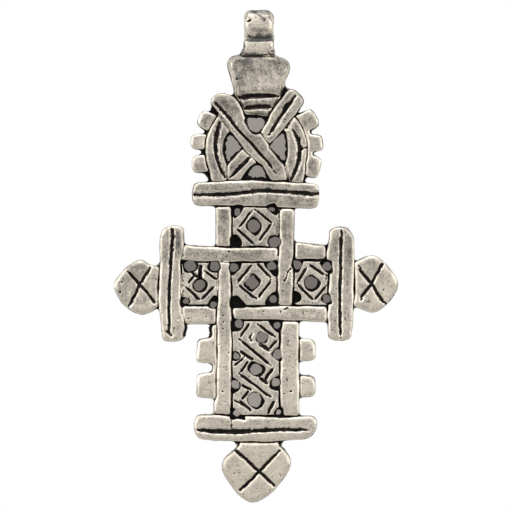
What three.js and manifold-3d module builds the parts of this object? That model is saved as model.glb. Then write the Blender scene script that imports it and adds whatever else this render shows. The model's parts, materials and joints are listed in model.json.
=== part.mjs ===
// A coptic cross pendant in white metal, drawn in millimetres as its laid-up pieces.
// The front looks along -Y and +Z is up; the origin is the middle of the bail's eye.
import * as THREE from 'three';
import { mergeVertices } from 'three/addons/utils/BufferGeometryUtils.js';
import Module from 'manifold-3d';

const wasm = await Module();
wasm.setup();

// Thicknesses, from the flat back to the front
const plateThickness = 1.3;
const stripThickness = 1.2;
const panelDrop = 0.15;
const edgeBevel = 0.18;
const seam = 0.3;
const plateRim = 0.2;

// The plaited crossing: posts stand, rails lie across, panels fill between them
const columnWidth = 7.4;
const postWidth = 2.0;
const wideExtra = 0.7;
const sidePanelWidth = 5.4;
const railHeight = 2.1;
const centrePanelHeight = 6.9;
const upperPanelHeight = 6.1;
const lowerPanelHeight = 14.9;

// The bars that cross the ends of the four arms
const endBarWidth = 3.4;
const endBarHeight = 18.3;
const neckBarWidth = 20.2;
const neckBarHeight = 3.7;
const footBarWidth = 19.8;
const footBarHeight = 3.9;

// The wheel at the head, its teeth, and the cap over it
const wheelAboveBar = 5.2;
const wheelRadius = 8.1;
const wheelPlateRadius = 8.8;
const bandWidth = 3.2;
const ringToothReach = 2.1;
const ringToothWidth = 2.5;
const shaftToothReach = 2.8;
const shaftToothWidth = 3.7;
const combSpine = 0.8;
const rimSpine = 0.6;
const capRise = 15.2;

// The bail: a short tube lying across on a saddled collar
const bailLength = 4.8;
const bailRadius = 2.4;
const bailWall = 1.0;
const bailRound = 0.7;
const collarWidth = 4.6;
const collarHeight = 2.2;
const filletReach = 0.35;
const filletToe = 0.5;
const bailSides = 28;

// Engraved lines, cut with a pointed graver
const lineWidth = 0.42;
const thinLineWidth = 0.28;
const wideLineWidth = 0.58;
const lineDepth = 0.4;
const runOut = 0.12;

const backFace = (plateThickness + stripThickness) / 2;
const plateFront = backFace - plateThickness;
const stripFront = plateFront - stripThickness;
const panelFront = stripFront + panelDrop;
const cutPast = 0.3;

// Seam lines of the crossing, counted from the middle of the centre panel
const columnEdge = columnWidth / 2;
const postInner = columnEdge + seam;
const postOuter = postInner + postWidth;
const sideInner = postOuter + seam;
const sideOuter = sideInner + sidePanelWidth;
const barInner = sideOuter + seam;
const barOuter = barInner + endBarWidth;
const centreEdge = centrePanelHeight / 2;
const railInner = centreEdge + seam;
const railOuter = railInner + railHeight;
const upperBottom = railOuter + seam;
const upperTop = upperBottom + upperPanelHeight;
const neckBottom = upperTop + seam;
const neckTop = neckBottom + neckBarHeight;
const lowerTop = -railOuter - seam;
const lowerBottom = lowerTop - lowerPanelHeight;
const lowerMiddle = (lowerTop + lowerBottom) / 2;
const footTop = lowerBottom - seam;
const footBottom = footTop - footBarHeight;
const wheelMiddle = [0.1, neckTop + wheelAboveBar];
const capTop = wheelMiddle[1] + capRise;
const bailMiddle = [0.5, capTop + seam + collarHeight + bailRadius];

// Turning outlines into solids
function solidFrom(geometry) {
  geometry.deleteAttribute('normal');
  geometry.deleteAttribute('uv');
  const merged = mergeVertices(geometry, 1e-5);
  const vertProperties = new Float32Array(merged.attributes.position.array);
  const triVerts = new Uint32Array(merged.index.array);
  return new wasm.Manifold(new wasm.Mesh({ numProp: 3, vertProperties, triVerts }));
}

function meshFrom(name, solid, color, roughness) {
  const { vertProperties, triVerts } = solid.getMesh();
  const geometry = new THREE.BufferGeometry();
  geometry.setAttribute('position', new THREE.BufferAttribute(vertProperties, 3));
  geometry.setIndex(new THREE.BufferAttribute(triVerts, 1));
  geometry.computeVertexNormals();
  const mesh = new THREE.Mesh(geometry, new THREE.MeshStandardMaterial({ color, roughness, metalness: 1 }));
  mesh.name = name;
  return mesh;
}

// A flat end of a solid, divided into triangles. The points are nudged off shared straight lines
// while it is divided, so that none is left out.
function endFaces(outline) {
  const nudge = 1e-4;
  const nudged = outline.map(([x, z], index) =>
    new THREE.Vector2(x + nudge * Math.sin(7 * index), z + nudge * Math.cos(11 * index)));
  return THREE.ShapeUtils.triangulateShape(nudged, []);
}

// A solid through outlines of equal point counts, each at its own depth, from back to front
function loft(levels) {
  const count = levels[0].outline.length;
  const positions = levels.flatMap(({ outline, y }) => outline.flatMap(([x, z]) => [x, y, z]));
  const front = (levels.length - 1) * count;
  const faces = endFaces(levels[0].outline).flatMap(([a, b, c]) => [a, c, b]);
  faces.push(...endFaces(levels.at(-1).outline).flatMap(([a, b, c]) => [a + front, b + front, c + front]));
  for (let level = 0; level < levels.length - 1; level += 1) {
    for (let index = 0; index < count; index += 1) {
      const here = level * count + index;
      const next = level * count + ((index + 1) % count);
      faces.push(here, next, next + count, here, next + count, here + count);
    }
  }
  return new wasm.Manifold(new wasm.Mesh({
    numProp: 3,
    vertProperties: new Float32Array(positions),
    triVerts: new Uint32Array(faces),
  }));
}

function counterClockwise(outline) {
  const area = THREE.ShapeUtils.area(outline.map(([x, y]) => ({ x, y })));
  return area < 0 ? [...outline].reverse() : outline;
}

function prism(outline, back, front) {
  const turned = counterClockwise(outline);
  return loft([{ outline: turned, y: back }, { outline: turned, y: front }]);
}

// A slab with its front edges filed over and its back edges left square
function slab(outline, back, front) {
  const turned = counterClockwise(outline);
  return loft([
    { outline: turned, y: back },
    { outline: turned, y: front + edgeBevel },
    { outline: grown(turned, -edgeBevel), y: front },
  ]);
}

// Outlines: points moved to an anchor, corners rounded, or a smooth line drawn through them
function at([x, z], points) {
  return points.map(([dx, dz]) => [x + dx, z + dz]);
}

function rounded(points, radius, steps = 2) {
  const nearlyStraight = 0.25;
  return points.flatMap((point, index) => {
    const corner = new THREE.Vector2(...point);
    const before = new THREE.Vector2(...points.at(index - 1)).sub(corner);
    const after = new THREE.Vector2(...points[(index + 1) % points.length]).sub(corner);
    if (Math.PI - before.angleTo(after) < nearlyStraight) return [point];
    const trim = Math.min(radius, 0.45 * before.length(), 0.45 * after.length());
    const start = before.setLength(trim).add(corner);
    const end = after.setLength(trim).add(corner);
    const bend = new THREE.QuadraticBezierCurve(start, corner, end);
    return bend.getPoints(steps).map((vertex) => [vertex.x, vertex.y]);
  });
}

function smooth(points, count) {
  const vectors = points.map(([x, z]) => new THREE.Vector3(x, 0, z));
  const curve = new THREE.CatmullRomCurve3(vectors, true, 'centripetal');
  return curve.getPoints(count).slice(0, -1).map((point) => [point.x, point.z]);
}

function oval([x, z], radiusX, radiusZ, sides = 14) {
  const turn = (2 * Math.PI) / sides;
  const steps = Array.from({ length: sides }, (_, index) => index * turn);
  return steps.map((angle) => [x + radiusX * Math.cos(angle), z + radiusZ * Math.sin(angle)]);
}

function arc([x, z], radius, startDegrees, endDegrees, steps) {
  const span = endDegrees - startDegrees;
  return Array.from({ length: steps + 1 }, (_, index) => {
    const angle = THREE.MathUtils.degToRad(startDegrees + (span * index) / steps);
    return [x + radius * Math.cos(angle), z + radius * Math.sin(angle)];
  });
}

// The same outline moved outwards all round, as a neighbour's seam or the plate's rim
function grown(outline, distance) {
  const side = THREE.ShapeUtils.isClockWise(outline.map(([x, y]) => ({ x, y }))) ? -1 : 1;
  return outline.map((point, index) => {
    const corner = new THREE.Vector2(...point);
    const before = new THREE.Vector2(...outline[(index + outline.length - 1) % outline.length]);
    const after = new THREE.Vector2(...outline[(index + 1) % outline.length]);
    const arriving = corner.clone().sub(before).normalize();
    const leaving = after.sub(corner).normalize();
    const direction = arriving.clone().add(leaving).normalize();
    const mitre = Math.max(direction.dot(leaving), 0.6);
    const shift = (side * distance) / mitre;
    return [corner.x + direction.y * shift, corner.y - direction.x * shift];
  });
}

// A strip cut by hand: four corners and four edge middles, each a little off its true place.
// The eight moves go round from the lower left corner: corner, edge middle, corner, and so on.
function handCut(left, right, bottom, top, moves, corner = 0.5) {
  const middleX = (left + right) / 2;
  const middleZ = (bottom + top) / 2;
  const square = [
    [left, bottom], [middleX, bottom], [right, bottom], [right, middleZ],
    [right, top], [middleX, top], [left, top], [left, middleZ],
  ];
  const points = square.map(([x, z], index) => [x + moves[index][0], z + moves[index][1]]);
  return rounded(points, corner);
}

// A graver's cut: a V along the line that runs out to a point at both ends
function graverCut(points, face, width = lineWidth, depth = lineDepth) {
  const vectors = points.map(([x, z]) => new THREE.Vector3(x, 0, z));
  const curve = new THREE.CatmullRomCurve3(vectors, false, 'centripetal');
  const sections = points.length > 2 ? 2 * points.length : 2;
  const lift = 0.1;
  const top = face - lift;
  const positions = [];
  const push = (place, y) => positions.push(place.x, y, place.z);
  push(curve.getPointAt(0), top);
  for (let index = 0; index < sections; index += 1) {
    const along = runOut + ((1 - 2 * runOut) * index) / (sections - 1);
    const place = curve.getPointAt(along);
    const direction = curve.getTangentAt(along);
    const across = new THREE.Vector3(-direction.z, 0, direction.x).multiplyScalar(width / 2 + lift / 2);
    push(place.clone().add(across), top);
    push(place.clone().sub(across), top);
    push(place, face + depth);
  }
  push(curve.getPointAt(1), top);
  const faces = [0, 2, 1, 0, 1, 3, 0, 3, 2];
  for (let index = 0; index < sections - 1; index += 1) {
    const [left, right, root] = [1 + 3 * index, 2 + 3 * index, 3 + 3 * index];
    faces.push(left, right, left + 3, right, right + 3, left + 3);
    faces.push(left, left + 3, root, root, left + 3, root + 3);
    faces.push(right, root, right + 3, root, root + 3, right + 3);
  }
  const last = 1 + 3 * sections;
  faces.push(last, last - 3, last - 2, last, last - 1, last - 3, last, last - 2, last - 1);
  const geometry = new THREE.BufferGeometry();
  geometry.setAttribute('position', new THREE.Float32BufferAttribute(positions, 3));
  geometry.setIndex(faces);
  return solidFrom(geometry);
}

// What is laid so far: each later piece is cut back from it by one seam
const pieces = [];
const footprints = [];
let taken = null;

function lay(name, outline, parts = {}) {
  const { front = stripFront, holes = [], lines = [], cutters = [], color = '#b9b4a9' } = parts;
  let solid = slab(outline, plateFront, front);
  if (taken) solid = solid.subtract(taken);
  holes.forEach((hole) => {
    solid = solid.subtract(prism(hole, plateFront + cutPast, stripFront - cutPast));
  });
  lines.forEach(({ points, width, depth }) => {
    solid = solid.subtract(graverCut(points, front, width, depth));
  });
  cutters.forEach((cutter) => {
    solid = solid.subtract(cutter);
  });
  const claimed = prism(grown(outline, seam), plateFront + cutPast, stripFront - cutPast);
  taken = taken ? taken.add(claimed) : claimed;
  footprints.push(outline);
  pieces.push({ name, solid, color });
}

// The pierced field of each panel. A hole's front outline is wider than the opening in the plate
// behind it; a blind hole stops at the plate. Corner holes hang on the panel's corners.
function pierced(anchor, points, opening) {
  const outline = rounded(at(anchor, points), 0.35);
  if (!opening) return { outline, through: null };
  const [x, z, radiusX, radiusZ = radiusX] = opening;
  return { outline, through: oval([anchor[0] + x, anchor[1] + z], radiusX, radiusZ) };
}

function engraved(anchor, lists, width = lineWidth, depth = lineDepth) {
  return lists.map((points) => ({ points: at(anchor, points), width, depth }));
}

const upperMiddle = [0, (upperTop + upperBottom) / 2];
const upperHoles = [
  pierced([-columnEdge, upperTop],
    [[-0.2, 0.2], [0.6, 0.6], [1.8, 0.5], [1.7, -0.4], [1.1, -1.2], [0.3, -1.9], [-0.1, -1.1]],
    [0.8, -0.7, 0.6, 0.8]),
  pierced([columnEdge, upperTop],
    [[-2, 0.4], [-1.4, 0.6], [-0.6, 0.8], [-0.1, 0.1], [0, -0.9], [-0.4, -1.5], [-1.2, -0.9], [-1.9, -0.1]],
    [-1.1, -0.3, 0.65, 0.45]),
  pierced([-columnEdge, upperBottom],
    [[-0.5, 1.4], [0.6, 1.8], [1.4, 1.1], [1.7, 0.1], [0.6, -0.5], [-0.4, -0.1]]),
  pierced([columnEdge, upperBottom], oval([-0.7, 0.6], 1.1, 1.1, 10), [-0.7, 0.6, 1.0]),
  pierced(upperMiddle,
    [[-0.4, 1.8], [0.4, 1.2], [1.1, 0.2], [0.9, -0.7], [0.1, -1.7], [-0.7, -1], [-1.6, -0.2], [-1.4, 0.7]],
    [-0.3, 0.1, 1.05, 1.15]),
];
const upperLines = engraved(upperMiddle, [
  [[-0.7, 2.5], [-2.5, -0.1]],
  [[0.1, 2.7], [2.6, 0.7]],
  [[2.6, 0.6], [0.5, -2.5]],
  [[-3.1, -0.2], [-0.1, -3]],
]);

const centreMiddle = [0, 0];
const centreHoles = [
  pierced([-columnEdge, centreEdge],
    [[-0.7, -0.6], [-0.1, 0.1], [1.5, 0.1], [1.4, -0.9], [0.7, -1.5], [0.1, -2.2], [-0.5, -1.5]],
    [0.3, -0.8, 0.8]),
  pierced([columnEdge, centreEdge],
    [[-2.4, 0.2], [-1.4, 0.2], [-0.4, 0.6], [0, -0.6], [0.1, -2.3], [-0.7, -2.3], [-1.4, -1.4], [-2.2, -0.7]],
    [-1.1, -0.6, 0.8]),
  pierced([-columnEdge, -centreEdge],
    [[-0.5, 1.4], [0.8, 1.6], [1.5, 0.9], [2.3, 0], [2, -0.5], [0.3, -0.5], [-0.5, -0.4]]),
  pierced([columnEdge, -centreEdge],
    [[-0.4, 2.3], [0.1, 1.7], [0.1, -0.1], [-1.1, -0.1], [-2.3, 0.1], [-1.9, 1.1], [-1.2, 1.9]],
    [-0.9, 1, 0.75]),
  pierced(centreMiddle,
    [[-0.4, 1.8], [1, 0.6], [0.6, -0.3], [-0.6, -1.4], [-2, -0.2]],
    [-0.5, 0.2, 1.05, 1.15]),
];
const centreLines = engraved(centreMiddle, [
  [[-0.5, 3.2], [-3, 0.2]],
  [[0.1, 3.4], [2.3, 1.1]],
  [[2.5, 0.6], [0.4, -2.3]],
  [[-2.8, -0.1], [0.1, -2.4]],
]);

const sideMiddle = (sideInner + sideOuter) / 2;
const leftMiddle = [-sideMiddle, 0];
const leftHoles = [
  pierced([-sideOuter, centreEdge],
    [[0, -0.1], [0.3, 0.4], [1.2, 0.5], [2.2, 0.3], [2.7, -0.6], [2.1, -1.4], [1.1, -1.7], [0.3, -1.6]],
    [1.2, -0.5, 1]),
  pierced([-sideInner, centreEdge],
    [[-1.5, -0.7], [-1, 0.1], [0, 0.3], [0.8, -0.3], [0.8, -1.1], [0, -1.7], [-1.1, -1.4]],
    [-0.3, -0.6, 0.9]),
  pierced([-sideOuter, -centreEdge],
    [[-0.5, 1.1], [0.1, 1.5], [1.1, 1.1], [1.3, 0.6], [0.7, 0], [-0.4, -0.2]],
    [0.5, 0.7, 0.55]),
  pierced([-sideInner, -centreEdge],
    [[-1.5, -0.1], [-0.9, 1], [-0.3, 1.7], [0.5, 1.2], [0.5, -0.1], [0.1, -0.6], [-0.8, -0.5]],
    [-0.4, 0.2, 0.65]),
  pierced(leftMiddle,
    [[-1.3, -0.3], [-0.7, 0.6], [0, 1], [0.8, 0.8], [1.5, 0], [1.1, -1], [0.1, -1.5], [-0.8, -1.2]],
    [0, -0.2, 0.95]),
];
const leftLines = [
  ...engraved(leftMiddle, [
    [[-0.8, 1.3], [-1.9, 0]],
    [[0.9, 2.1], [2.8, 0.6]],
    [[-2.1, -0.5], [0.1, -2.6]],
    [[2.5, -0.3], [0.4, -2.4]],
  ]),
  ...engraved(leftMiddle, [[[0.2, 3.2], [0.1, 0.7]]], wideLineWidth, stripThickness / 2),
];

const rightMiddle = [sideMiddle, 0];
const rightHoles = [
  pierced([sideInner, centreEdge],
    [[-0.5, 0.1], [-0.4, 0.5], [1.4, 0.4], [1.1, -0.7], [0.5, -1.7], [-0.1, -1.5], [-0.7, -0.7]],
    [0.4, -0.4, 0.7, 0.8]),
  pierced([sideOuter, centreEdge],
    [[-1.4, 0.3], [-0.3, 0.5], [0.7, 0.4], [0.8, -1.8], [0.2, -1.9], [-0.7, -1.2], [-1.3, -0.4]],
    [-0.2, -0.7, 0.8, 0.9]),
  pierced([sideInner, -centreEdge],
    [[-0.4, 2.3], [0.3, 2.3], [1.1, 1.7], [1.1, 0.9], [0.5, 0.6], [-0.2, 0.3], [-0.5, 1.2]]),
  pierced([sideOuter, -centreEdge],
    [[-1.2, 1.1], [-0.8, 1.8], [0.4, 2], [0.5, 1.1], [0.8, 0.1], [-0.1, 0.2], [-0.9, 0.6]],
    [-0.3, 1.1, 0.75]),
  pierced(rightMiddle,
    [[-1.4, 0.2], [-0.9, 1], [-0.2, 1.5], [0.8, 1], [1.6, 0.2], [1, -0.7], [0, -1.3], [-0.9, -0.8]],
    [-0.1, 0.2, 1.1]),
];
const rightLines = engraved(rightMiddle, [
  [[-0.8, 2.7], [-2.4, 0.2]],
  [[-0.6, 3.2], [2.2, 1.4]],
  [[2.5, 1.3], [2.4, 0]],
  [[2.3, -0.3], [0.5, -2.5]],
  [[-2.4, 0], [0.2, -2.5]],
]);

const shaftMiddle = [0, lowerMiddle];
const lowerHoles = [
  pierced([-columnEdge, lowerTop],
    [[-0.4, 0.5], [0.7, 0.5], [1.9, 0.3], [1.8, -0.7], [1.1, -1.5], [-0.3, -1.5]],
    [1, -0.3, 0.75]),
  pierced([columnEdge, lowerTop],
    [[-1.8, 0.5], [-0.7, 0.4], [0.7, 0.5], [0.7, -0.6], [0.2, -1.7], [-0.4, -1.5], [-1.2, -0.6]],
    [-0.3, -0.5, 0.65]),
  pierced([-columnEdge, lowerMiddle],
    [[-0.2, 2.6], [0.4, 3], [1.2, 2.6], [1.4, 1.8], [0.7, 1.2], [-0.1, 1.4]],
    [0.6, 2.1, 0.7]),
  pierced([columnEdge, lowerMiddle],
    [[0.3, 3.7], [0.5, 2.7], [0.7, 1.2], [-0.3, 1.4], [-1.3, 2.3], [-0.6, 3]],
    [-0.3, 2.3, 0.75]),
  pierced([-columnEdge, lowerMiddle],
    [[-0.2, -1.2], [0.6, -1.7], [1.5, -2.5], [1.1, -3.3], [0.3, -3.8], [-0.2, -4.1]],
    [0.5, -2.5, 0.75, 0.85]),
  pierced([columnEdge, lowerMiddle],
    [[0.2, -1], [0.5, -2.2], [0.2, -3.5], [-0.7, -3.5], [-1.5, -3.1], [-1.4, -1.9], [-0.6, -1.3]],
    [-0.5, -2.2, 0.8]),
  pierced([-columnEdge, lowerBottom],
    [[-0.4, 1.4], [0.7, 0.9], [1.3, 0.1], [2.3, -0.4], [2.2, -0.9], [1.2, -0.6], [-0.4, -0.8]],
    [0.6, 0.3, 0.55, 0.5]),
  pierced([columnEdge, lowerBottom],
    [[-0.1, 1.3], [0.7, 1.4], [0.9, 0], [0.2, -0.5], [-0.9, 0.3]],
    [0, 0.5, 0.5]),
  pierced(shaftMiddle, [[0.6, 6.1], [2.2, 5.4], [1.7, 4], [0.6, 4.1], [-0.2, 4.6], [0.2, 5.3]], [1, 5, 0.95]),
  pierced(shaftMiddle,
    [[-0.6, 1.3], [0.4, 0.8], [1.4, 0.6], [1.6, -0.2], [0.9, -1.3], [-0.2, -1.1], [-1.4, 0], [-1, 0.8]],
    [0.1, -0.1, 1.1, 1]),
  pierced(shaftMiddle,
    [[-0.3, -3.6], [0.7, -3.9], [1.7, -5.1], [1, -6], [0.3, -6.6], [-0.9, -5.9], [-1.4, -5], [-1.1, -4.2]],
    [-0.1, -5, 1.2, 1.25]),
];
const lowerLines = [
  ...engraved(shaftMiddle, [
    [[-0.9, 7.4], [-2.5, 5.1]],
    [[0.4, 7.1], [3.1, 5.1]],
    [[3.4, 4.6], [2.2, 3.2]],
    [[-2.5, 4.8], [2.5, 0.5]],
    [[-1.1, 1.3], [-2.5, -0.6]],
    [[-2.8, -0.6], [2.5, -4.6]],
    [[-2.3, -2.5], [-0.6, -3.5]],
    [[-1, -3.5], [-2.3, -5]],
    [[-2.6, -5.1], [-0.6, -6.7]],
  ]),
  ...engraved(shaftMiddle, [
    [[0.4, 4.2], [2.3, 2.9]],
    [[-2.6, 3], [-0.2, 1.3]],
    [[2.8, 0.2], [1.5, -1.8]],
    [[0.7, -1.4], [2, -2.4]],
    [[3.1, -5], [1.9, -7]],
  ], wideLineWidth),
  ...engraved(shaftMiddle, [[[-1.8, 1.9], [-3.4, 0.5]]], thinLineWidth),
];

const panelHoles = [...upperHoles, ...centreHoles, ...leftHoles, ...rightHoles, ...lowerHoles];
const fieldHoles = panelHoles.map(({ outline }) => outline);
const openings = panelHoles.filter(({ through }) => through).map(({ through }) => through);

// The crossbars over and under the shaft, each with one long engraved line
lay('neck_crossbar', handCut(-neckBarWidth / 2, neckBarWidth / 2, neckBottom, neckTop,
  [[0.2, 0.1], [0, 0], [-0.2, -0.4], [0, 0], [-0.1, -0.3], [-0.6, 0.3], [0.2, -0.1], [0, 0]], 1), {
  holes: fieldHoles,
  lines: engraved([0, (neckBottom + neckTop) / 2],
    [[[-9.9, -0.1], [-7, -0.1], [-3, 0.1], [1, 0.6], [5, 0.4], [9.9, 0.2]]], wideLineWidth),
});
lay('foot_crossbar', handCut(-footBarWidth / 2, footBarWidth / 2, footBottom, footTop,
  [[0.8, 0.4], [0, 0], [-1.2, 0.5], [0, 0.3], [-0.3, 0.1], [0, 0], [0.4, 0.4], [0, 0.2]], 1), {
  holes: fieldHoles,
  lines: engraved([0, (footBottom + footTop) / 2],
    [[[-9.5, -0.2], [-6, -0.4], [-2, -0.4], [2, -0.1], [5, 0], [8.8, -0.1]]], wideLineWidth),
});

// The bars over the ends of the side arms
const endBarTop = endBarHeight / 2;
lay('left_end_bar', rounded([
  [-barOuter + 0.6, -endBarTop], [-barInner - 0.2, -endBarTop], [-barInner + 0.5, -endBarTop + 1.5],
  [-barInner + 0.6, -railOuter], [-barInner, -railInner], [-barInner, railInner],
  [-barInner + 0.5, railOuter], [-barInner + 0.4, endBarTop - 0.6], [-barInner - 0.6, endBarTop + 0.2],
  [-barOuter + 0.7, endBarTop - 0.2], [-barOuter + 0.1, endBarTop - 1.9], [-barOuter + 0.2, 2.5],
  [-barOuter - 0.1, -2.5], [-barOuter + 0.3, -6],
], 0.7), {
  holes: fieldHoles,
  lines: engraved([-(barInner + barOuter) / 2, 0],
    [[[0.2, 8.9], [0.3, 6], [0.1, 2], [-0.1, -2], [-0.1, -8.2]]], lineWidth),
});
lay('right_end_bar', rounded([
  [barInner - 0.3, -endBarTop + 1.2], [barInner + 0.6, -endBarTop + 0.1],
  [barOuter - 0.6, -endBarTop + 0.2], [barOuter + 0.1, -endBarTop + 2], [barOuter + 0.2, -2.5],
  [barOuter + 0.3, 2.5], [barOuter + 0.3, endBarTop - 1.6], [barOuter - 0.7, endBarTop - 0.1],
  [barInner + 0.6, endBarTop - 0.1], [barInner, endBarTop - 1.5], [barInner - 0.3, railOuter + 0.4],
  [barInner - 0.4, railInner], [barInner, centreEdge], [barInner - 0.3, -railOuter],
], 0.7), {
  holes: fieldHoles,
  lines: engraved([(barInner + barOuter) / 2, 0],
    [[[0, 8.5], [-0.1, 3], [-0.2, -3], [-0.2, -8.6]]], lineWidth),
});

// The plaited border: each long strip covers one neighbour's end and butts on the next
lay('upper_right_post', handCut(postInner, postOuter, -centreEdge, upperTop,
  [[-0.5, 0.1], [0, 0.1], [-0.2, 0.1], [0, 0], [0.2, -0.3], [0, -0.3], [0, -0.3], [-0.3, 0]], 0.35), {
  holes: fieldHoles,
});
lay('lower_right_rail', handCut(-columnEdge, sideOuter, -railOuter, -railInner,
  [[0.2, 0.3], [0, 0.2], [-0.4, -0.2], [-0.4, 0], [-0.4, 0.1], [0, 0.1], [0.2, 0], [0.2, 0]], 0.3), {
  holes: fieldHoles,
});
lay('lower_left_post', rounded([
  [-postOuter - 0.6, lowerBottom + 0.3], [-postInner, lowerBottom + 0.3],
  [-postInner + 0.1, lowerMiddle], [-postInner + 0.1, -railOuter], [-postInner - 0.1, 0],
  [-postInner - 0.1, centreEdge], [-postOuter + 0.2, centreEdge], [-postOuter + 0.1, -centreEdge],
  [-postOuter - 0.1, -railOuter], [-postOuter - 0.1, lowerMiddle],
  [-postOuter - 0.2, lowerBottom + 2.7], [-postOuter - 0.6, lowerBottom + 2.2],
], 0.3), { holes: fieldHoles });
lay('upper_left_rail', handCut(-sideOuter, columnEdge, railInner, railOuter,
  [[0.4, 0], [0, -0.1], [-0.4, 0], [-0.3, 0], [-0.3, -0.1], [0, -0.1], [0.4, 0.3], [0.4, 0]], 0.3), {
  holes: fieldHoles,
});
lay('upper_left_post', handCut(-postOuter, -postInner, upperBottom, upperTop,
  [[-0.3, 0], [0, 0], [0, 0], [0.1, 0], [0, 0], [0, 0], [-0.3, 0], [-0.3, 0]], 0.3), {
  holes: fieldHoles,
});
lay('upper_right_rail', handCut(sideInner, sideOuter, railInner, railOuter,
  [[0.1, 0.3], [0, 0.3], [-0.5, 0.3], [-0.5, 0.3], [-0.5, 0.3], [0, 0.5], [0.1, 0.8], [0.1, 0.4]], 0.3), {
  holes: fieldHoles,
});
lay('lower_left_rail', handCut(-sideOuter, -sideInner, -railOuter, -railInner,
  [[0.4, -0.5], [0, -0.5], [-0.1, -0.5], [-0.1, 0], [0, 0.2], [0, 0.2], [0.2, 0.1], [0.4, 0]], 0.3), {
  holes: fieldHoles,
});
lay('lower_right_post', handCut(postInner, postOuter + wideExtra, lowerBottom, lowerTop,
  [[0.1, 0.1], [0, 0.1], [0.2, 0.1], [0.2, 0], [0.2, 0], [0, 0.1], [0.1, 0.1], [0, 0]], 0.35), {
  holes: fieldHoles,
});

// The panels fill what the border leaves, so each reaches a seam past its place and is cut back
function panel(name, left, right, bottom, top, lines) {
  const corners = [[left - seam, bottom - seam], [right + seam, bottom - seam],
    [right + seam, top + seam], [left - seam, top + seam]];
  const outline = rounded(corners, 0.8, 1);
  lay(name, outline, { front: panelFront, holes: fieldHoles, lines, color: '#a9a59b' });
}
panel('upper_panel', -columnEdge, columnEdge, upperBottom, upperTop, upperLines);
panel('centre_panel', -columnEdge, columnEdge, -centreEdge, centreEdge, centreLines);
panel('left_panel', -sideOuter, -sideInner, -centreEdge, centreEdge, leftLines);
panel('right_panel', sideInner, sideOuter, -centreEdge, centreEdge, rightLines);
panel('lower_panel', -columnEdge, columnEdge, lowerBottom, lowerTop, lowerLines);

// The wheel: one long strap lies over two short ones, inside a ring in two halves
const windowLeft = [
  [-4.8, 2.7], [-4.2, 3], [-3.7, 2.7], [-1.8, 0.1], [-2.6, -0.2], [-3.7, -1.2], [-4.5, -2.6],
  [-4.9, -2.2], [-5.4, -0.5], [-5.3, 1.6],
];
const windowRight = [
  [3.8, 2.9], [4.3, 3.2], [4.8, 2.9], [5.2, 0.9], [5.1, -1.1], [4.8, -2.3], [4.2, -2.2], [1.9, 0.5],
  [2.1, 1],
];
const windowTop = [
  [-2.2, 4.8], [-1.2, 5.6], [0.3, 5.6], [1.6, 5.3], [2, 4.7], [0.8, 2.7], [0.1, 2.4], [-0.5, 2.5],
  [-1.1, 3],
];
const windowBottom = [
  [-2.4, -4.5], [-1, -2.8], [-0.2, -2.1], [0.3, -1.9], [1, -2.3], [2.3, -4.5], [1.9, -5], [-1.4, -4.9],
];
const windowRim = 0.25;
const windowShapes = [windowLeft, windowRight, windowTop, windowBottom];
const windowPoints = windowShapes.map((points) => at(wheelMiddle, points));
const windows = windowPoints.map((points) => rounded(points, 0.4));
const windowOpenings = windowPoints.map((points) => rounded(grown(points, -windowRim), 0.3));

lay('strap_over', rounded(at(wheelMiddle, [
  [-7.3, 7.6], [-6.9, 8.5], [-6, 9.1], [-4.9, 9], [-3.2, 8.3], [-2.4, 6.6], [-1.9, 5.2],
  [-0.6, 3.3], [0.7, 2.6], [1.9, 0.9], [3.3, -0.9], [4.5, -2.4], [5.2, -4.9], [2.5, -4.9],
  [1, -2.5], [0.2, -1.8], [-1.8, 0.1], [-4, 3], [-6.1, 6],
]), 0.4), {
  holes: windows,
  lines: engraved(wheelMiddle, [[[-6.7, 7.8], [-5, 5.9], [-2.6, 3], [0, 0.2], [3.4, -3.8]]], lineWidth),
});
lay('strap_under_upper', rounded(at(wheelMiddle, [
  [4.9, 9.4], [5.5, 9.8], [6.2, 9.6], [7.5, 8.3], [7.6, 7.6], [6.5, 6.2], [4.3, 3.4],
  [2.9, 1.9], [1.6, 0.6], [0.3, 2.2], [2, 4.7], [2.2, 5.6], [4.1, 8.2],
]), 0.4), {
  holes: windows,
  lines: engraved(wheelMiddle, [[[6.2, 8.5], [4.5, 6.2], [3.2, 4.3], [2.1, 2.4]]], wideLineWidth),
});
lay('strap_under_lower', rounded(at(wheelMiddle, [
  [-1.9, 0.4], [0.7, -1.5], [-1.1, -2.6], [-2.4, -4.2], [-2.6, -4.9], [-4.5, -4.9],
  [-4.6, -2.3], [-3.2, -0.9],
]), 0.4), {
  holes: windows,
  lines: engraved(wheelMiddle, [[[-1, -1.3], [-4.2, -4.5]]], lineWidth),
});

// The cap has two engraved bands above the wheel and swells to its shoulders under the bail
const capMiddle = [wheelMiddle[0], capTop];
lay('head_cap', rounded([
  ...at(wheelMiddle, [
    [1.9, 5.3], [2.8, 6.9], [3.8, 8.3], [4.2, 9.5], [4.5, 10.6],
  ]),
  ...at(capMiddle, [
    [4.6, -3.8], [5.1, -2.9], [5.4, -1.9], [5.1, -1.1], [4.5, -0.6], [3.2, -0.2], [0, 0],
    [-2.7, 0], [-3.8, -0.2], [-4.4, -0.7], [-4.6, -1.6], [-4.2, -2.9],
  ]),
  ...at(wheelMiddle, [
    [-3.8, 10.9], [-3.4, 9.4], [-3.4, 8.4], [-2.4, 6.7], [-1.9, 5.7], [0, 5.8],
  ]),
], 0.5), {
  holes: windows,
  lines: [
    ...engraved(wheelMiddle, [[[-2.8, 8.3], [-1.3, 8.6], [0.3, 8.7], [1.9, 8.7], [3.7, 8.6]]], wideLineWidth),
    ...engraved(wheelMiddle, [[[-2.1, 6.6], [-1, 6.9], [0.6, 7], [1.6, 7], [2.7, 6.7]]], wideLineWidth),
  ],
});

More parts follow.
